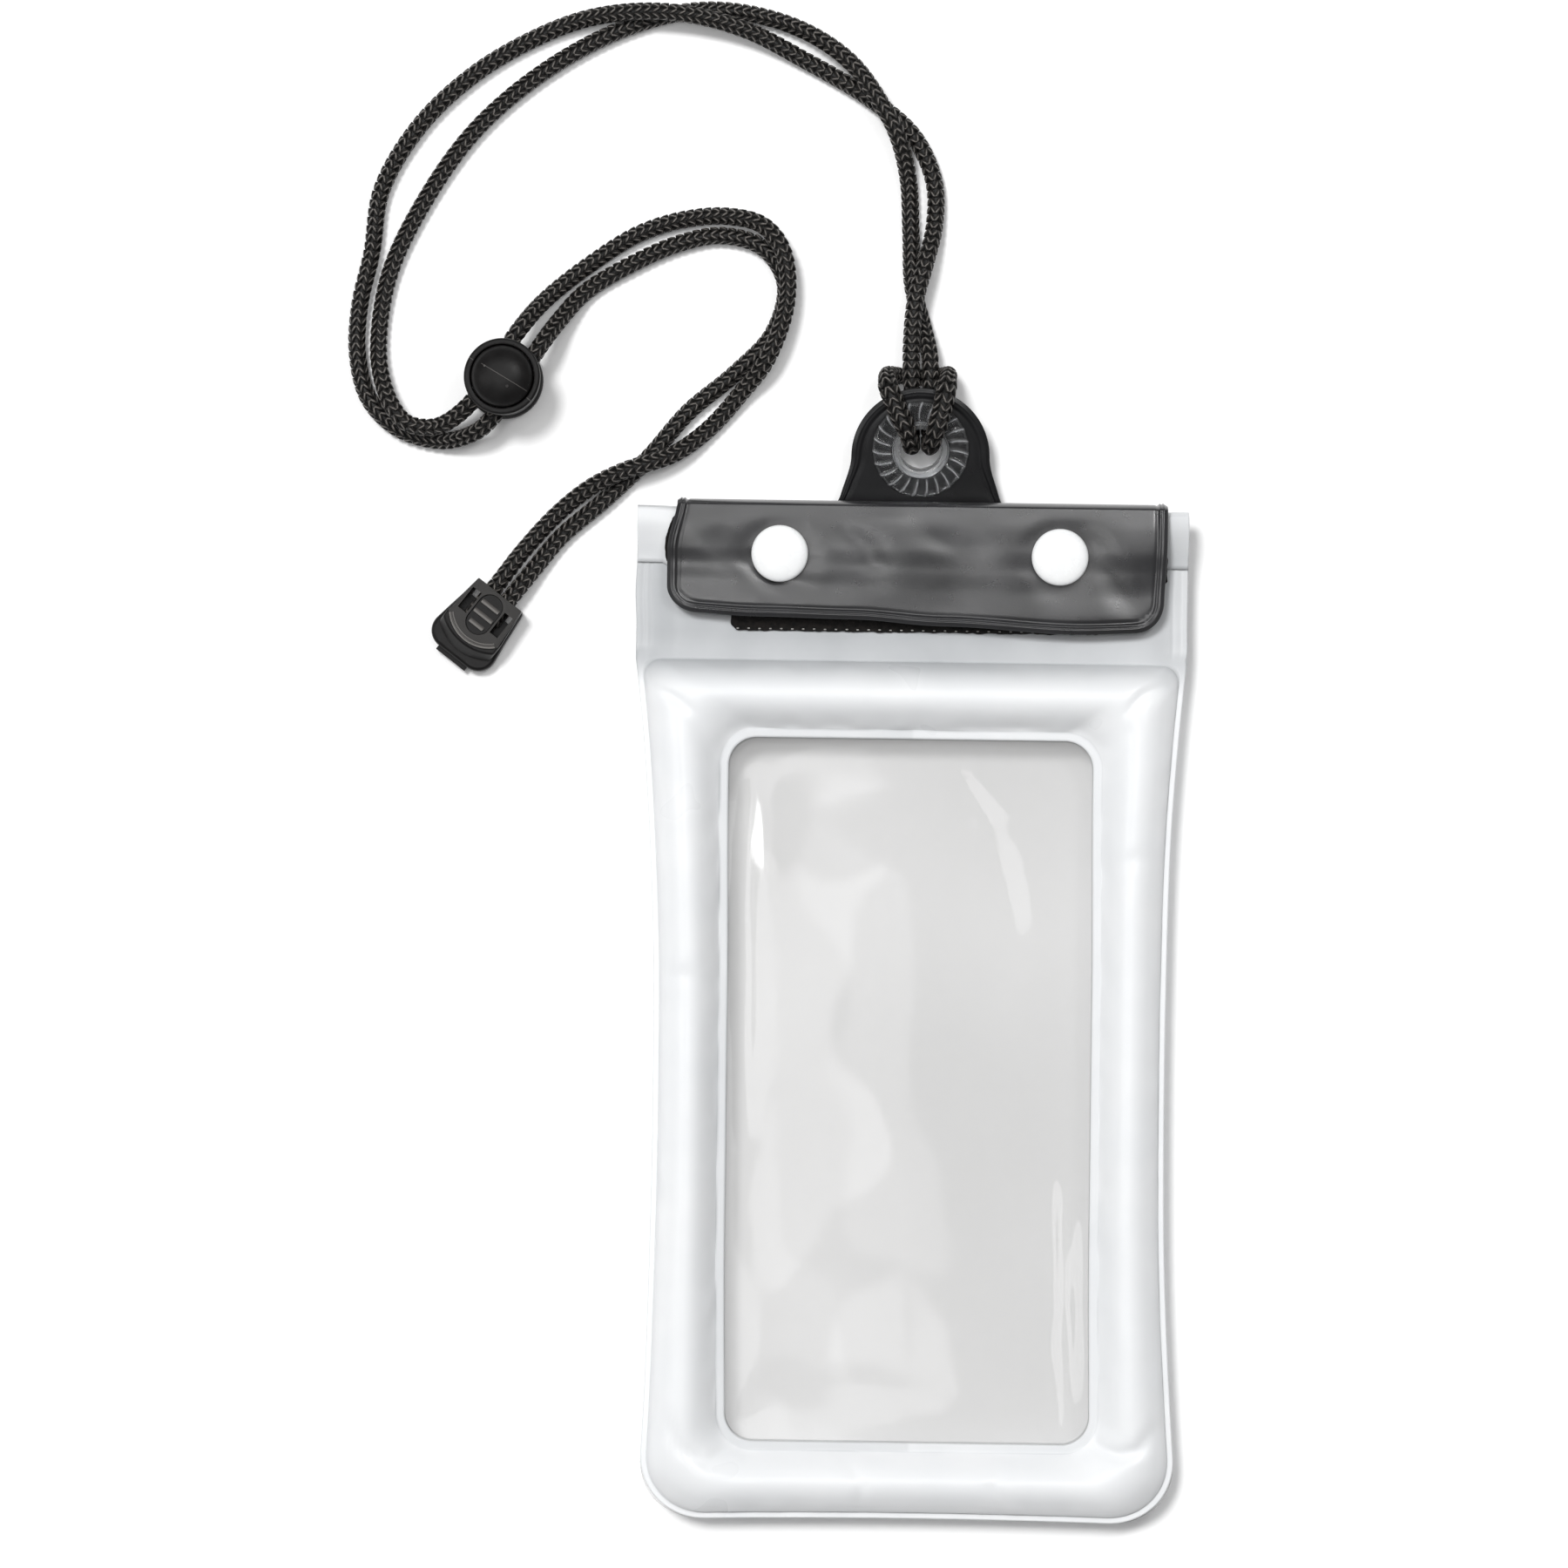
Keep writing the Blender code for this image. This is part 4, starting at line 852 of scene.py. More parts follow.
def clip_cover():
    """The clip's cover: a flat top with a grip between two slots, a double ridge and a sloping tail."""
    top = 8.0
    wide = [(0.0, -6.4), (10.1, -7.5)] + arc_points((4.6, 0.0), 11.6, -40, 0, 12)
    piece = drawn("cord_clip_cover", mirrored(wide), 4.5, top - 0.6, (0.87, 0.985, 0.0))
    softened(piece, 0.4, 4)
    right = [(0.0, -6.3), (10.1, -7.15)] + arc_points((4.15, 0.0), 9.3, -46, 0, 12)
    plate = drawn("clip_top", mirrored(right), top - 1.2, top, (0.99, 0.995, 0.0))
    softened(plate, 0.2, 2)
    oval = arc_points((3.75, 0.0), 2.8, 90, 270, 14) + arc_points((8.05, 0.0), 2.8, -90, 90, 14)
    cut_with(plate, drawn("grip_oval", oval, top - 0.5, top + 0.5, (1.06, 1.16, 5.9)))
    for part in (piece, plate):
        for low, high in (((2.4, -5.95, 4.0), (8.15, -3.5, top + 1)), ((2.6, 3.45, 4.0), (8.3, 5.7, top + 1)),
                          ((-5.0, -4.5, 1.95), (9.3, 4.5, 6.65))):
            cut_with(part, block("cover_cut", low, high))
    # Painted highlight: the top plate a little lighter, the ridges and rib tops much lighter.
    shells = [paint_highlight(plate, top - 0.25, 0.13)]
    for outer, height, painted_highlight in ((9.2, 0.30, 0.8), (8.86, 0.12, 0.4), (8.45, 0.27, 0.6)):
        arc = arc_points((4.15, 0.0), outer, -47, 47, 24) + arc_points((4.15, 0.0), outer - 0.36, 47, -47, 24)
        ridge = drawn("clip_ridge", arc, top - 0.4, top + height)
        softened(ridge, 0.12, 2)
        shells.append(paint_highlight(ridge, top - 0.1, painted_highlight))
    for x, half in ((3.66, 2.5), (6.31, 2.65), (8.85, 2.0)):
        rib = drawn("grip_rib", [(x - 1.0, -half), (x + 0.42, -half), (x + 0.42, half), (x - 1.0, half)],
                    top - 0.9, top + 0.2, (0.34, 0.97, x + 0.4))
        softened(rib, 0.1, 2)
        shells.append(paint_highlight(rib, top - 0.06, 0.75))
    joined(piece, shells)
    return put(piece, clip_place)


barrel = finished(lock_barrel(), black_finish, stands_for=["lock_barrel"], angle=35)
plunger = finished(lock_plunger(), black_finish, "plunger", ["lock_plunger"], 35)
base = finished(clip_base(), black_finish, stands_for=["cord_end_base"], angle=35)
cover = finished(clip_cover(), black_finish, stands_for=["cord_end_cover"], angle=35)
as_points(cord_path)


# Welded skins
def side_edge(y):
    """Half the width of the pouch at y, before its lower corners are rounded."""
    if y >= chamber_top:
        return mouth_half
    if y >= waist_y:
        return waist_half + (mouth_half - waist_half) * ((y - waist_y) / (chamber_top - waist_y)) ** 2.6
    return waist_half + (foot_half - waist_half) * ((waist_y - y) / (waist_y - bottom_y)) ** 2.2


def bowed(x, y):
    """The foot's soft bow, which dies away up the pouch."""
    fade = 1 - ease((y - bottom_y) / 16.4)
    return y + bow * fade * (1 - (x / foot_half) ** 2)


def lean(y):
    """How far the soft pouch lies to the left of its middle line, up its length."""
    return through([(-125.0, 0.0), (-60.0, -0.7), (-10.0, -0.8), (40.0, -1.25), (75.0, -1.5)], y)


def edge_distance(x, y):
    """How far a point is inside the pouch's outline."""
    x = abs(x)
    dx = side_edge(y) - x
    dy = y - bowed(x, bottom_y)
    if dx < corner and dy < corner:
        return corner - math.hypot(corner - dx, corner - dy)
    return min(dx, dy)


def film_height(x, y):
    """Height of a film over the middle plane: the two films meet in the weld and part inside it."""
    inside = ease((edge_distance(x, y) - flange) / 8.0)
    return 0.15 + (film_level - 0.15) * inside


def sectors(counts, makers):
    """Points along a run of sectors, each given by a function of 0 to 1."""
    points = [makers[0](0.0)]
    for count, make in zip(counts, makers):
        points += [make(k / count) for k in range(1, count + 1)]
    return points


sector_counts = (44, 20, 112, 14, 14, 44)


def window_curve(outset, radius):
    """Right half of the window's rounded outline, from the bottom middle to the top middle."""
    half, low, high = window_half + outset, window_low - outset, window_high + outset

    def turn(cy, start):
        def make(t):
            a = math.radians(start + 90 * t)
            return (half - radius + radius * math.cos(a), cy + radius * math.sin(a))
        return make

    lower, upper = turn(low + radius, -90), turn(high - radius, 0)
    return sectors(sector_counts, [
        lambda t: (t * (half - radius), low),
        lower,
        lambda t: (half, low + radius + t * (high - low - 2 * radius)),
        lambda t: upper(t / 2),
        lambda t: upper(0.5 + t / 2),
        lambda t: ((1 - t) * (half - radius), high),
    ])


def body_curve(inset, top, top_round):
    """Right half of the pouch's outline below the neck, moved in by the inset."""
    turn_x, turn_y = mouth_half - inset - top_round, top - top_round

    def low_edge(t):
        x = t * (side_edge(bottom_y + corner) - corner)
        return x, bowed(x, bottom_y + inset)

    def low_corner(t):
        a = math.radians(-90 + 90 * t)
        y = bottom_y + corner + (corner - inset) * math.sin(a)
        x = side_edge(y) - corner + (corner - inset) * math.cos(a)
        x += (1 - t) * (side_edge(bottom_y + corner) - side_edge(bottom_y))
        return x, bowed(x, y)

    def side(t):
        y = bottom_y + corner + t * (turn_y - bottom_y - corner)
        return side_edge(y) - inset, y

    def top_corner(t):
        a = math.radians(90 * t)
        y = turn_y + top_round * math.sin(a)
        return turn_x + (top_round + side_edge(y) - mouth_half) * math.cos(a), y

    def square_corner(t):
        if t <= 0.5:
            y = turn_y + 2 * t * top_round
            return side_edge(y) - inset, y
        return turn_x + 2 * (1 - t) * top_round, top

    shape = square_corner if top > chamber_top else top_corner
    return sectors(sector_counts, [
        low_edge, low_corner, side,
        lambda t: shape(t / 2), lambda t: shape(0.5 + t / 2),
        lambda t: ((1 - t) * turn_x, top),
    ])


across_weld = 4
across_cushion = 26
across_flange = 4


def ring_rows():
    """Rows of (x, y, cushion fraction or None, flange fraction) from the window out to the edge."""
    opening, weld_line = window_curve(0.0, 6.5), window_curve(weld, 8.5)
    seam, outline = body_curve(rim_seam, chamber_top, 4.5), body_curve(0.0, chamber_top + flange, 4.5)
    rows = []

    def blend_row(a, b, t, fraction):
        return [(xa + (xb - xa) * t, ya + (yb - ya) * t, fraction) for (xa, ya), (xb, yb) in zip(a, b)]

    for k in range(across_weld):
        rows.append(blend_row(opening, weld_line, k / across_weld, None))
    for k in range(across_cushion + 1):
        t = (1 - math.cos(math.pi * k / across_cushion)) / 2
        rows.append(blend_row(weld_line, seam, t, t))
    for k in range(1, across_flange + 1):
        rows.append(blend_row(seam, outline, k / across_flange, None))
    return rows


cushion_creases = [
    ([(40.6, -108.6), (44.0, -112.2), (48.2, -113.7), (52.6, -112.4), (56.8, -107.4)], 1.5, 1.5),
    ([(-40.0, -113.5), (-46.0, -116.5), (-52.0, -113.0), (-55.5, -106.0)], 0.9, 1.6),
    ([(-50.0, 55.0), (-54.5, 58.5), (-59.0, 60.0)], 0.8, 1.3),
    ([(49.0, 56.0), (53.0, 60.5), (58.0, 62.0)], 0.8, 1.3),
    ([(46.0, 20.0), (51.5, 23.0), (57.5, 22.0)], 0.45, 1.6),
    ([(-46.5, -8.0), (-51.0, -5.0), (-56.0, -6.0)], 0.45, 1.6),
    ([(-14.0, -116.0), (-10.0, -121.0), (-11.0, -127.0)], 0.5, 1.4),
    ([(22.0, -115.5), (20.0, -121.0), (23.5, -127.0)], 0.5, 1.5),
]


def skin_height(x, y, fraction, front):
    """Height of a skin's outer face over the middle plane, with its puckers and creases."""
    base = film_height(x, y) + skin_level - film_level
    if fraction is None or not 0.0 < fraction < 1.0:
        return base
    swell = (4 * fraction * (1 - fraction)) ** (1.12 - 0.42 * ease(fraction * 1.6 - 0.5))
    crest = front_crest if front else rear_crest
    crest += 0.35 * ripple(x, y, 26.0, 1.0 if front else 5.0)
    seed = 2.0 if front else 6.0
    near = min(fraction, 1 - fraction)
    pucker = ripple(x, y, 5.5, seed) * bell(near, 0.16) * min(near / 0.06, 1.0)
    height = base + (crest - base) * swell + 0.75 * pucker
    height += 0.18 * ripple(x, y, 11.0, seed + 1)
    if front:
        for points, depth, width in cushion_creases:
            height += crease(x, y, points, depth, width) * min(near / 0.1, 1.0)
        return max(height, base)
    # The rear cushion is flattened where it rests
    return max(min(height, middle), base)


def fold_profile(angle, low, high, center_y, reach):
    """A point on a sheet's half turn from one level up to another; reach flattens the turn."""
    radius = (high - low) / 2
    return center_y + reach * radius * math.sin(angle), (low + high) / 2 - radius * math.cos(angle)


def fold_center(x):
    """How far up the skins run flat before they turn over the mouth."""
    low = -(film_height(x, fold_y) + skin_level - film_level)
    return fold_y - 0.7 * (outer_hem - low) / 2


def neck_ripple(x, y):
    """The neck's welded lines near its sides, and its slight waves."""
    side = mouth_half - abs(x)
    groove = -0.16 * bell(side - 3.4, 0.35) - 0.10 * bell(side - 1.6, 0.3)
    return groove + 0.22 * ripple(x, y, 9.0, 9.0) * ease((y - 69.0) / 6.0) * ease(side / 3.0)


def skin_piece(name, front):
    """One skin: the cushion ring round its window, then the neck, the fold over the mouth and the hem."""
    side = 1 if front else -1
    points, tone_and_painted_shade = [], []
    rows = ring_rows()
    half = len(rows[0]) - 1
    around = 2 * half
    for r, row in enumerate(rows):
        loop = row + [(-x, y, f) for x, y, f in row[-2:0:-1]]
        weld_tone = (0.42 - 0.3 * ease((r - across_weld) / 2.0)) * (1 if r < across_weld + 2 else 0)
        for x, y, fraction in loop:
            points.append((x, y, middle + side * skin_height(x, y, fraction, front)))
            # Painted shade: the top cushion greys towards the neck, less on the right side; the weld round
            # the window is greyer.
            shown = 0.88 * ease((y - 59.0) / 9.0) * (1 - 0.3 * ease((x - 15.0) / 45.0))
            tone_and_painted_shade.append(max(shown, weld_tone * (0.6 if x > 0 else 1.0)))
    faces = grid_faces(len(rows) - 1, around, wrap=True, turned_over=True)

    # The neck's columns go on from the ring's top edge
    first = sum(sector_counts[:4])
    top_row = (len(rows) - 1) * around
    columns = [top_row + k for k in range(first, around - first + 1)]
    before = columns
    xs = [points[k][0] for k in columns]
    stack = [("neck", t) for t in even(0.0, 1.0, 26)[1:]]
    stack += [("fold", a) for a in even(0.0, math.pi, 18)[1:]]
    stack += [("hem", t) for t in even(0.0, 1.0, 12)[1:]]
    hem_level = inner_hem if front else outer_hem
    for zone, value in stack:
        here = []
        for x in xs:
            level = side * (film_height(x, fold_y) + skin_level - film_level)
            turn_y = fold_center(x)
            if zone == "neck":
                y = neck_low + value * (turn_y - neck_low)
                z = level + side * neck_ripple(x, y) * (1 - ease((value - 0.9) / 0.1))
                # The neck's grey, where the dark panel lies behind, deepens a little towards its top; its
                # lightening towards the right and at its sides is painted light.
                shown = (0.88 + 0.1 * ease((y - 69.0) / 5.0)) * (1 - 0.3 * ease((x - 15.0) / 45.0))
                shown -= 0.2 * ease((abs(x) - 57.0) / 5.0)
            elif zone == "fold":
                y, z = fold_profile(value, level, hem_level, turn_y, hem_reach)
                # Painted shade: the fold at the mouth greys towards the right.
                shown = 0.12 + 0.3 * ease(x / 50.0)
            else:
                y = turn_y + value * (hem_low + 3.2 * ease((abs(x) - 54.0) / 3.0) - turn_y)
                lying = film_height(x, fold_y) + skin_level - film_level + (0.42 if front else 0.84)
                fallen = ease((abs(x) - 50.0) / 6.0)
                z = hem_level + (lying - hem_level) * fallen * ease((value - 0.15) / 0.75)
                # Painted shade: the hem greys towards the right and towards its lower end.
                shown = 0.12 + 0.3 * ease(x / 50.0) + 0.4 * ease((value - 0.5) / 0.5)
            wave = 0.35 * ripple(x * 0.01, y, 11.0, 3.0 if x > 0 else 7.0) * ease((abs(x) - 50.0) / 13.0)
            here.append(len(points))
            points.append((x + wave, y, middle + z))
            tone_and_painted_shade.append(shown)
        for k in range(len(here) - 1):
            faces.append((before[k], here[k], here[k + 1], before[k + 1]))
        before = here

    piece = from_points(name, [(x + lean(y), y, z) for x, y, z in points], faces)
    mark(piece, "tone_and_painted_shade", tone_and_painted_shade)
    face_front(piece, around * 8, front)
    return thickened(piece, skin_sheet)


front_skin = finished(skin_piece("front_cushions", True), skin_finish, stands_for=["front_skin"])
rear_skin = finished(skin_piece("rear_cushions", False), skin_finish, stands_for=["rear_skin"])

film_creases = [
    ([(32.5, -52.0), (33.5, -70.0), (32.8, -90.0), (34.2, -108.0)], 0.7, 1.3),
    ([(37.5, -60.0), (36.8, -80.0), (37.8, -104.0)], 0.6, 1.0),
    ([(-36.0, 40.0), (-38.0, 10.0), (-37.0, -40.0)], 0.35, 1.8),
    ([(8.0, 44.0), (18.0, 30.0), (24.0, 8.0)], 0.25, 2.5),
]


def rounded(x, y):
    """Round the lower corner: the square of its side goes to a quarter disc."""
    a, b = abs(x) - (side_edge(y) - corner), (bottom_y + corner) - y
    if a <= 0 or b <= 0:
        return x, bowed(x, y)
    u, v = quarter_disc(a, b, corner)
    x = math.copysign(side_edge(y) - corner + u, x)
    return x, bowed(x, bottom_y + corner - v)


def film_piece(name, front):
    """A clear film over the whole pocket, up to the mouth, slack inside the window."""
    side = 1 if front else -1
    across, along = 72, 130
    top = fold_center(0.0) - 0.3
    points = []
    for r in range(along + 1):
        row_y = bottom_y + (top - bottom_y) * r / along
        for k in range(across + 1):
            x, y = rounded(side_edge(row_y) * (2 * k / across - 1), row_y)
            height = film_height(x, y) + 0.3
            room = min(window_half - abs(x), y - window_low, window_high - y)
            if room > 0:
                slack = ease(room / 12.0)
                height += slack * (0.55 * ripple(x, y, 30.0, 11.0 + side) - 0.1)
                if front:
                    for line, depth, width in film_creases:
                        height += crease(x, y, line, depth, width) * ease(room / 4.0)
            points.append((x + lean(y), y, middle + side * max(height, film_height(x, y) * 0.4 + 0.3)))
    faces = grid_faces(along, across + 1)
    piece = from_points(name, points, faces if front else [face[::-1] for face in faces])
    return thickened(piece, film_sheet)


finished(film_piece("front_window", True), film_finish, stands_for=["front_film"])
finished(film_piece("rear_window", False), film_finish, stands_for=["rear_film"])


# Closing flap
sheet_edge = [0.0, 0.15, 0.35, 0.6, 0.8, 1.0, 1.2, 1.4, 1.6, 1.8, 2.05, 2.3, 2.55, 2.9, 3.4]
flap_half, flap_low, flap_round = 56.6, 75.5, 6.5
flap_heights = [(75.5, 7.5), (83.0, 7.5), (88.0, 7.75), (93.0, flap_upper), (97.0, flap_upper)]
low_edge_line = [(-56.6, 2.5), (-36.0, 1.5), (-15.0, 1.1), (5.7, -0.2), (36.4, -1.7), (56.6, -1.0)]
flap_creases = [
    ([(-48.0, 98.0), (-42.0, 93.0), (-37.0, 88.0), (-31.0, 83.5), (-22.0, 82.0)], 0.6, 3.4),
    ([(-20.0, 98.0), (-12.0, 92.0), (-10.0, 86.0)], 0.5, 3.4),
    ([(0.0, 97.0), (9.0, 93.0), (18.0, 92.0)], 0.4, 3.0),
    ([(38.0, 97.0), (44.0, 88.0), (50.0, 80.0)], 0.5, 3.4),
]


def bead(distance):
    """The welded rim: two ridges between a dark border and a groove."""
    return (0.38 * bell(distance - 0.95, 0.27) + 0.34 * bell(distance - 1.7, 0.25)
            - 0.20 * bell(distance - 2.4, 0.30) - 0.25 * bell(distance, 0.25))


def sheet_columns(half, inset, count):
    """Columns across a sheet, close together in its two welded rims."""
    return ([-half + d for d in sheet_edge] + even(-half + inset, half - inset, count)
            + [half - d for d in reversed(sheet_edge)])


def corner_rounded(x, y, half, low, radius):
    """Where a point goes when the sheet's lower corners are rounded, and how far it is from the edge."""
    a, b = radius - (half - abs(x)), radius - (y - low)
    if a <= 0 or b <= 0:
        return x, y, min(half - abs(x), y - low)
    u, v = quarter_disc(a, b, radius)
    return math.copysign(half - radius + u, x), low + radius - v, radius - math.hypot(u, v)


def droop(x, y):
    """How far the closed layers sink towards the pouch's sides."""
    return (0.9 * ease((-36.0 - x) / 22.0) * ease((100.0 - y) / 12.0)
            + 0.6 * ease((x - 40.0) / 17.0) * ease((96.0 - y) / 12.0))


def flap_bumps(x, y):
    """How the flap's front gives round its snaps and sags between them."""
    height = 0.40 * ripple(x, y, 17.0, 21.0) + 0.05 * ripple(x, y, 6.0, 23.0)
    for sx in (-snap_x, snap_x):
        r = math.hypot(x - sx, y - snap_y)
        height -= 0.3 * bell(r - 6.4, 2.6)
    for points, depth, width in flap_creases:
        height += crease(x, y, points, depth, width)
    return height


def flap_piece():
    """The flap: up behind the neck, over the mouth and down the front, with its welded rim."""
    points = []
    columns = sheet_columns(flap_half, 4.4, 64)
    turn_y = fold_center(0.0) + 1.8
    rows = [("back", flap_back_low + d) for d in sheet_edge] + [("back", y) for y in even(83.5, turn_y, 8)]
    rows += [("fold", a) for a in even(0.0, math.pi, 22)[1:]]
    rows += [("front", y) for y in even(turn_y, flap_low + 4.2, 40)[1:]]
    rows += [("front", flap_low + d) for d in reversed(sheet_edge)]
    for zone, value in rows:
        for x in columns:
            side_room = flap_half - abs(x)
            if zone == "back":
                y, z, normal = value, -flap_back, Vector((0.0, 0.0, -1.0))
                room = min(side_room, y - flap_back_low)
                if x < 0:
                    x += 1.05 * ease((y - 86.0) / 12.0) * ease((abs(x) - 30.0) / 26.0)
            elif zone == "fold":
                y, z = fold_profile(value, -flap_back, flap_upper - 0.48, turn_y, flap_reach)
                normal = Vector((0.0, math.sin(value), -math.cos(value)))
                room = side_room
                if x < 0:
                    x += 1.05 * ease((abs(x) - 30.0) / 26.0)
            else:
                normal = Vector((0.0, 0.0, 1.0))
                x, y, room = corner_rounded(x, value, flap_half, flap_low, flap_round)
                z = through(flap_heights, y) - 0.5 * ease((y - 96.0) / 7.0) ** 2 - droop(x, y)
                z += flap_bumps(x, y) * ease(room / 4.0) * ease((turn_y + 1 - y) / 5.0)
                y += through(low_edge_line, x) * ease((96.0 - y) / 20.0)
                shift = (1.1 - 2.2 * ease((104.0 - y) / 12.0)) if x < 0 else -0.7 * ease((96.0 - y) / 20.0)
                x += shift * ease((abs(x) - 30.0) / 26.0)
            points.append(Vector((x, y, middle + z)) + normal * bead(room))
    wide = len(columns)
    piece = from_points("closing_flap", points, grid_faces(len(rows) - 1, wide, turned_over=True))
    face_front(piece, (len(rows) - 20) * (wide - 1) + wide // 2)
    return thickened(piece, flap_sheet)


finished(flap_piece(), pvc_finish, stands_for=["closure_flap"])


# Hanging tab
def tab_outline():
    """Right half of the bell from its root to its top, finely."""
    top, radius, root = 30.87, 15.9, 18.6
    center = top - radius
    points = [(19.2, t) for t in even(0.0, 3.0, 4)[:-1]]
    for t in even(0.0, 1.0, 18):
        x = radius + (root - radius) * (1 - ease(t)) + 0.6 * (1 - ease(t * 4))
        points.append((x, 3.0 + t * (center - 3.0)))
    points += arc_points((0.0, center), radius, 0, 90, 30)[1:]
    return points


def tab_piece():
    """The bell round its eyelet, with a welded rim, over the hidden panel that joins it to the neck."""
    right = tab_outline()
    outline = right + [(-x, y) for x, y in reversed(right[:-1])]
    outline += [(x, 0.0) for x in even(-19.2, 19.2, 24)[1:-1]]
    steps = [0.0, 0.15, 0.35, 0.6, 0.85, 1.1, 1.4, 1.7, 2.0, 2.3, 2.6, 3.0]
    points, spokes = [], []
    hole = 5.95
    for x, y in outline:
        angle = math.atan2(y - eyelet_up, x)
        inner = Vector((hole * math.cos(angle), eyelet_up + hole * math.sin(angle)))
        spokes.append((Vector((x, y)), inner))
    fractions = steps + [None] * 8
    for k, step in enumerate(fractions):
        for rim, inner in spokes:
            length = (inner - rim).length
            if step is not None:
                run = min(step, length * 0.6)
                height = bead(run) * 0.7 * ease(rim.y / 3.0)
            else:
                t = (k - len(steps) + 1) / 8
                run = min(3.0, length * 0.6) + t * (length - min(3.0, length * 0.6))
                height = 0.0
            flat = rim + (inner - rim) * (run / length)
            points.append(tab_place @ Vector((flat.x, flat.y - 0.25, 0.5 + height)))
    piece = from_points("hanging_tab", points, grid_faces(len(fractions) - 1, len(outline), wrap=True))
    face_front(piece, len(outline) * 14)
    return thickened(piece, tab_sheet)


def tab_panel():
    """The flat panel behind the neck that the tab grows from."""
    points = []
    half, low, high, radius = 50.0, 78.1, 100.1, 5.0
    columns = sheet_columns(half, 4.2, 30)
    rows = [low + d for d in sheet_edge] + even(low + 4.2, high, 12)
    for row_y in rows:
        for column in columns:
            x, y, room = corner_rounded(column, row_y, half, low, radius)
            points.append((x, y, 3.6 - 0.6 * bead(room)))
    wide = len(columns)
    piece = from_points("tab_panel", points, grid_faces(len(rows) - 1, wide, turned_over=True))
    face_front(piece, wide * 18, front=False)
    return thickened(piece, tab_sheet)


finished(tab_piece(), tab_finish, stands_for=["hang_tab"])
finished(tab_panel(), tab_finish, stands_for=["hang_tab"])


def eyelet():
    """A clear eyelet: plain ring, and a ribbed flange with a scalloped rim."""
    top, ribs = 1.3, 23
    profile = [(4.75, 1.9), (4.85, 2.15), (5.15, 2.3), (6.1, 2.3), (6.4, 2.15), (6.55, 1.8), (6.6, top)]
    profile += [(6.6 + (10.6 - 6.6) * t, top) for t in (0.1, 0.25, 0.4, 0.55, 0.7, 0.85, 1.0)]
    profile += [(10.95, top - 0.1), (11.15, 1.05), (11.15, 0.75), (5.65, 0.75), (5.65, -1.9), (6.5, -1.9),
                (6.5, -2.4), (4.75, -2.4), (4.75, 1.9)]
    piece = turned("tab_eyelet", profile, 368)
    frost_and_painted_glint = []
    for vert in piece.data.vertices:
        x, y, z = vert.co / mm
        r = math.hypot(x, y)
        frost_and_painted_glint.append(0.07 if r < 6.58 else 0.0)
        if r > 6.58 and z > 0.9:
            outward = (r - 6.6) / 4.5
            angle = math.atan2(y, x) + 0.09 * outward * outward
            crest = max(0.0, math.cos(ribs * angle / 2)) ** 14 + max(0.0, -math.cos(ribs * angle / 2)) ** 14
            lift = 0.95 * crest * ease((10.9 - r) / 0.7) * ease(outward * 6 + 0.2)
            pull = 1 - 0.035 * (1 - crest) * ease((r - 10.0) / 1.1)
            vert.co = Vector((x * pull, y * pull, z + lift)) * mm
            # Painted highlight: the rib crests are made whitish and less clear, so that they shine as thin
            # bright lines; the outer rim is made a little whitish too.
            frost_and_painted_glint[-1] = 0.40 * crest ** 1.3 * ease((11.3 - r) / 0.6) * ease((r - 6.6) / 0.8)
            frost_and_painted_glint[-1] += 0.05 * ease((r - 10.6) / 0.4)
    mark(piece, "frost_and_painted_glint", frost_and_painted_glint)
    return put(piece, tab_place @ Matrix.Translation((0.0, eyelet_up, 0.0)))


finished(eyelet(), clear_finish, stands_for=["eyelet_body"], angle=50)


# Snap caps
def snap_cap(name, x):
    profile = [(0.0, 1.90), (2.5, 1.86), (4.2, 1.74), (5.3, 1.52), (6.0, 1.2), (6.4, 0.75), (6.5, 0.4),
               (6.42, 0.1), (6.2, 0.0), (1.2, 0.0), (1.2, -1.7), (0.0, -1.7)]
    return put(turned(name, profile, 64), Matrix.Translation((x, snap_y, middle + flap_upper + 0.3)))


for side, x in (("left", -snap_x), ("right", snap_x)):
    finished(snap_cap(f"snap_button_{side}", x), white_finish, stands_for=[f"snap_cap_{side}"],
             angle=50)


# Hook and loop tapes
def tape_piece(name, low, high, rough, lens, sink):
    """A woven strip with soft ends and a lumpy pile face; its left end may bow out like a lens."""
    (xa, ya, za), (xb, yb, zb) = low, high
    za, zb = middle + za, middle + zb
    points = []
    columns, rows = even(xa, xb, int((xb - xa) / 0.6)), even(ya, yb, int((yb - ya) / 0.5))
    for row in rows:
        for column in columns:
            x, y = column, row
            end = min(x - xa, xb - x)
            room = min(end, y - ya, yb - y)
            along = (y - ya) / (yb - ya)
            x += lens * (1 - math.sin(math.pi * along)) * (1 - ease((x - xa) / 8.0))
            y += (0.5 - along) * 2 * 1.2 * (1 - ease(end / 1.6)) ** 2
            lump = rough * (0.5 + ripple(x, y, 0.9, za)) * ease(room / 0.5)
            fray = 0.25 * ripple(x, y, 1.3, 2 * za) * (1 - ease(room / 0.8))
            z = zb - 0.25 * (1 - ease(room / 0.7)) + lump - rough - sink * droop(x, y)
            points.append((x + fray, y + fray, z))
    return thickened(from_points(name, points, grid_faces(len(rows) - 1, len(columns))), zb - za - 0.3)


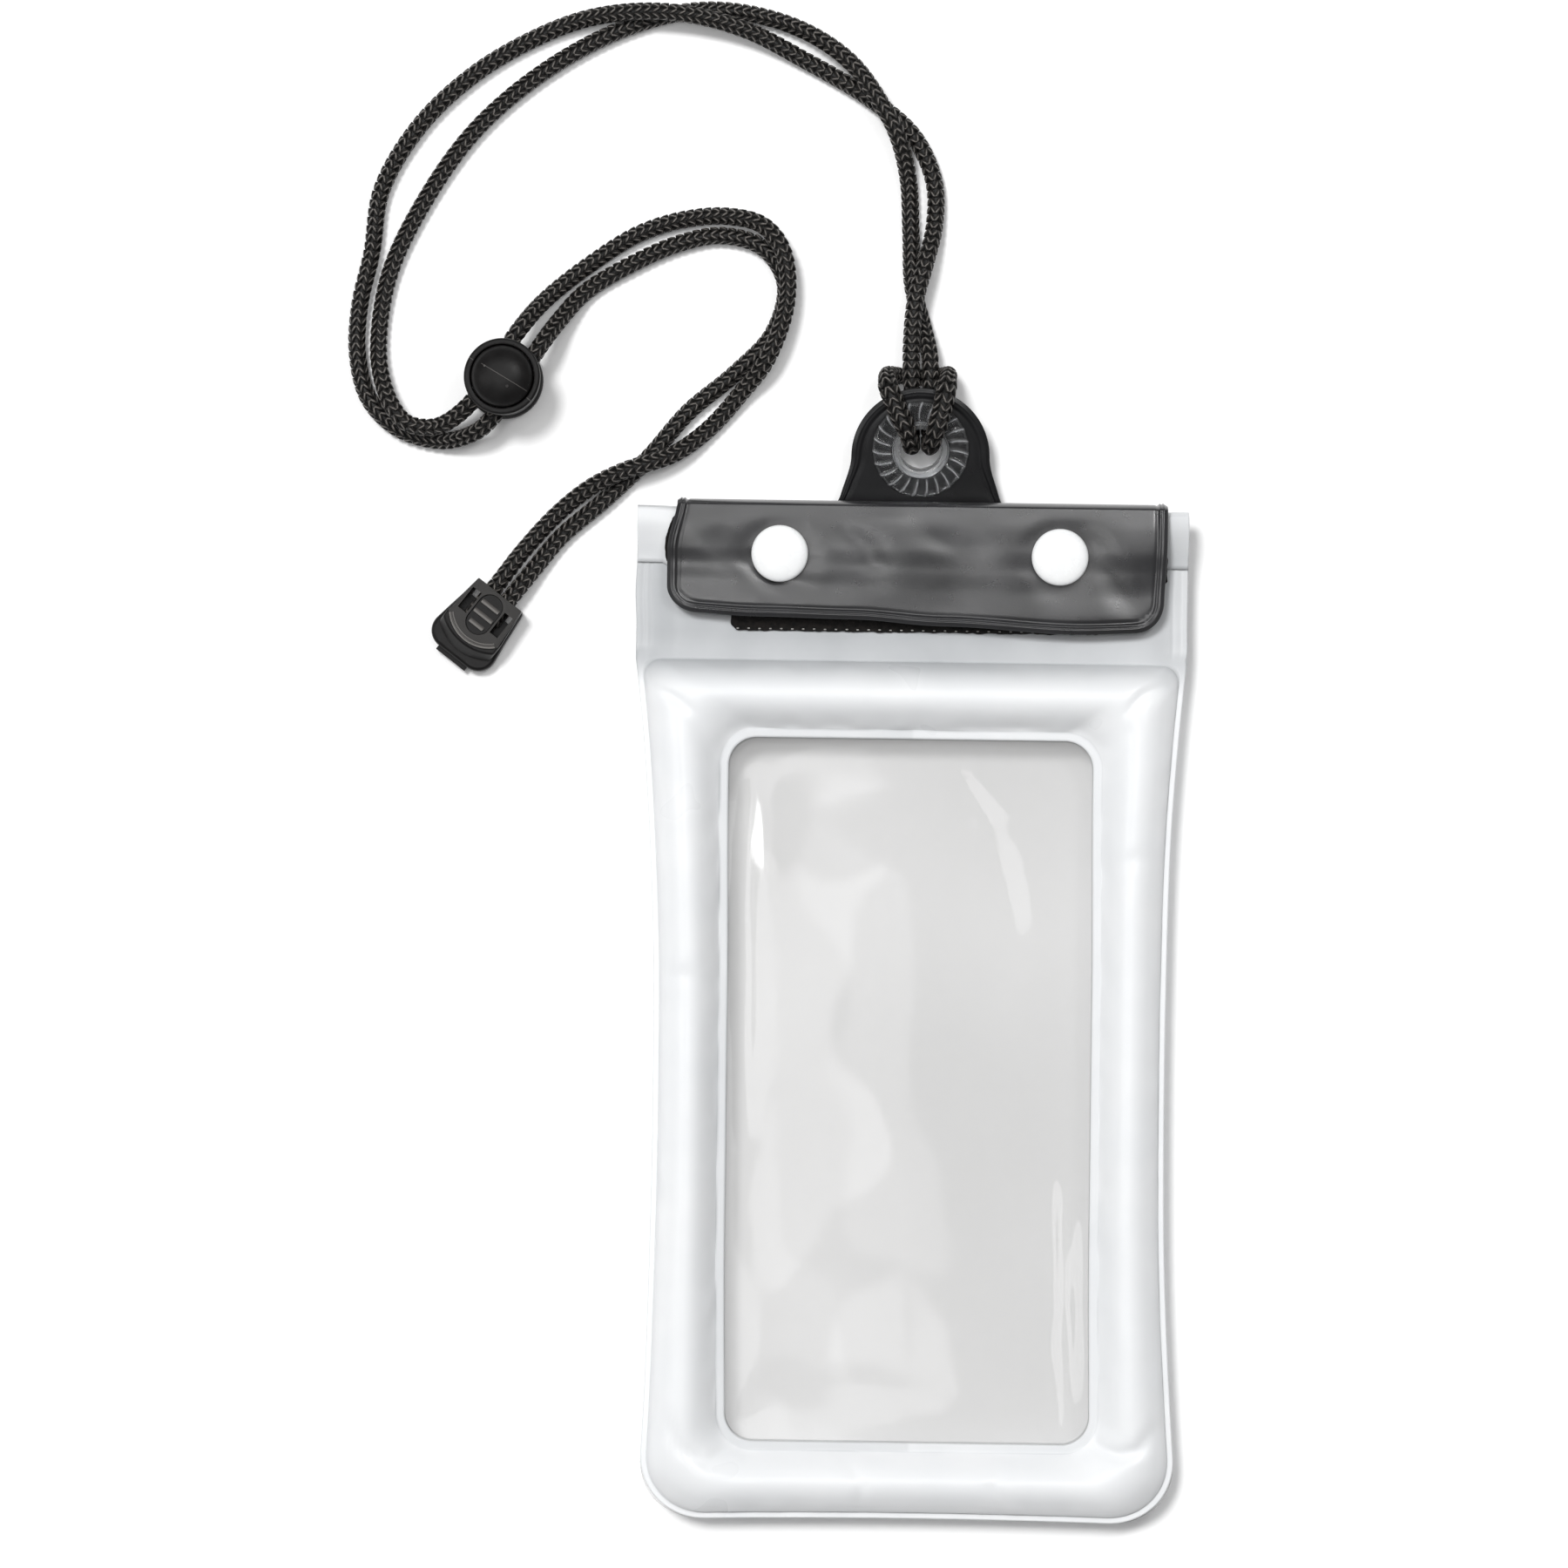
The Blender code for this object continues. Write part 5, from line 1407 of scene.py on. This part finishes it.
def tape_stitches():
    """A row of small stitches along the lower tape's free edge."""
    first = block("tape_stitches", (-0.28, -0.14, -0.10), (0.28, 0.14, 0.10))
    modified(first, "BEVEL", width=0.08 * mm, segments=2)
    stitches = [first]
    for k in range(33):
        stitches.append(in_scene("tape_stitch", first.data.copy()))
    for k, stitch in enumerate(stitches):
        x, y, z = -41.4 + 2.5 * k, 74.35 + 0.03 * math.sin(2.1 * k), middle + lower_loop + 0.04
        turn = Matrix.Rotation(0.12 * noise.noise(Vector((k * 1.7, 0.0, 0.0))), 4, "Z")
        put(stitch, Matrix.Translation((x, y, z)) @ turn)
    return joined(first, stitches[1:])


# Each strip's name, lowest and highest corner, CAD node, finish, roughness, bow of its end and droop
strips = [
    ("hem_loop_strip", (-58.3, 85.0, 5.0), (56.7, 100.6, upper_loop),
     "hem_loop_tape", loop_finish, 0.25, 1.7, 0.4),
    ("flap_hook_strip", (-55.2, 87.6, 5.3), (55.0, 100.4, 5.9),
     "flap_hook_tape", hook_finish, 0.12, 0.0, 0.9),
    ("body_loop_strip", (-43.0, 73.9, 2.7), (42.4, 83.5, lower_loop),
     "body_loop_tape", loop_finish, 0.25, 0.0, 0.0),
    ("flap_hook_strip_low", (-43.0, 76.9, 3.8), (43.0, 82.0, lower_hook),
     "flap_hook_tape_lower", hook_finish, 0.15, 0.0, 0.0),
]
for name, low, high, node, finish, rough, lens, sink in strips:
    strip = tape_piece(name, low, high, rough, lens, sink)
    finished(strip, finish, stands_for=[node], angle=60)
finished(tape_stitches(), stitch_finish, angle=50)

# The CAD's own shapes that stay in view, with their finishes
for name, node in nodes.items():
    if name.startswith("zip_"):
        finish = film_finish
    elif name.startswith(("snap_socket", "snap_stud", "snap_back")):
        finish = white_finish
    elif name == "eyelet_washer":
        finish = clear_finish
    elif name == "lock_spring":
        finish = steel_finish
    else:
        continue
    for place in node.material_slots:
        place.material = finish

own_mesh(nodes["lock_spring"])

low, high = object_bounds()
{"cad": [list(cad_low), list(cad_high)], "visual": [list(low), list(high)]}
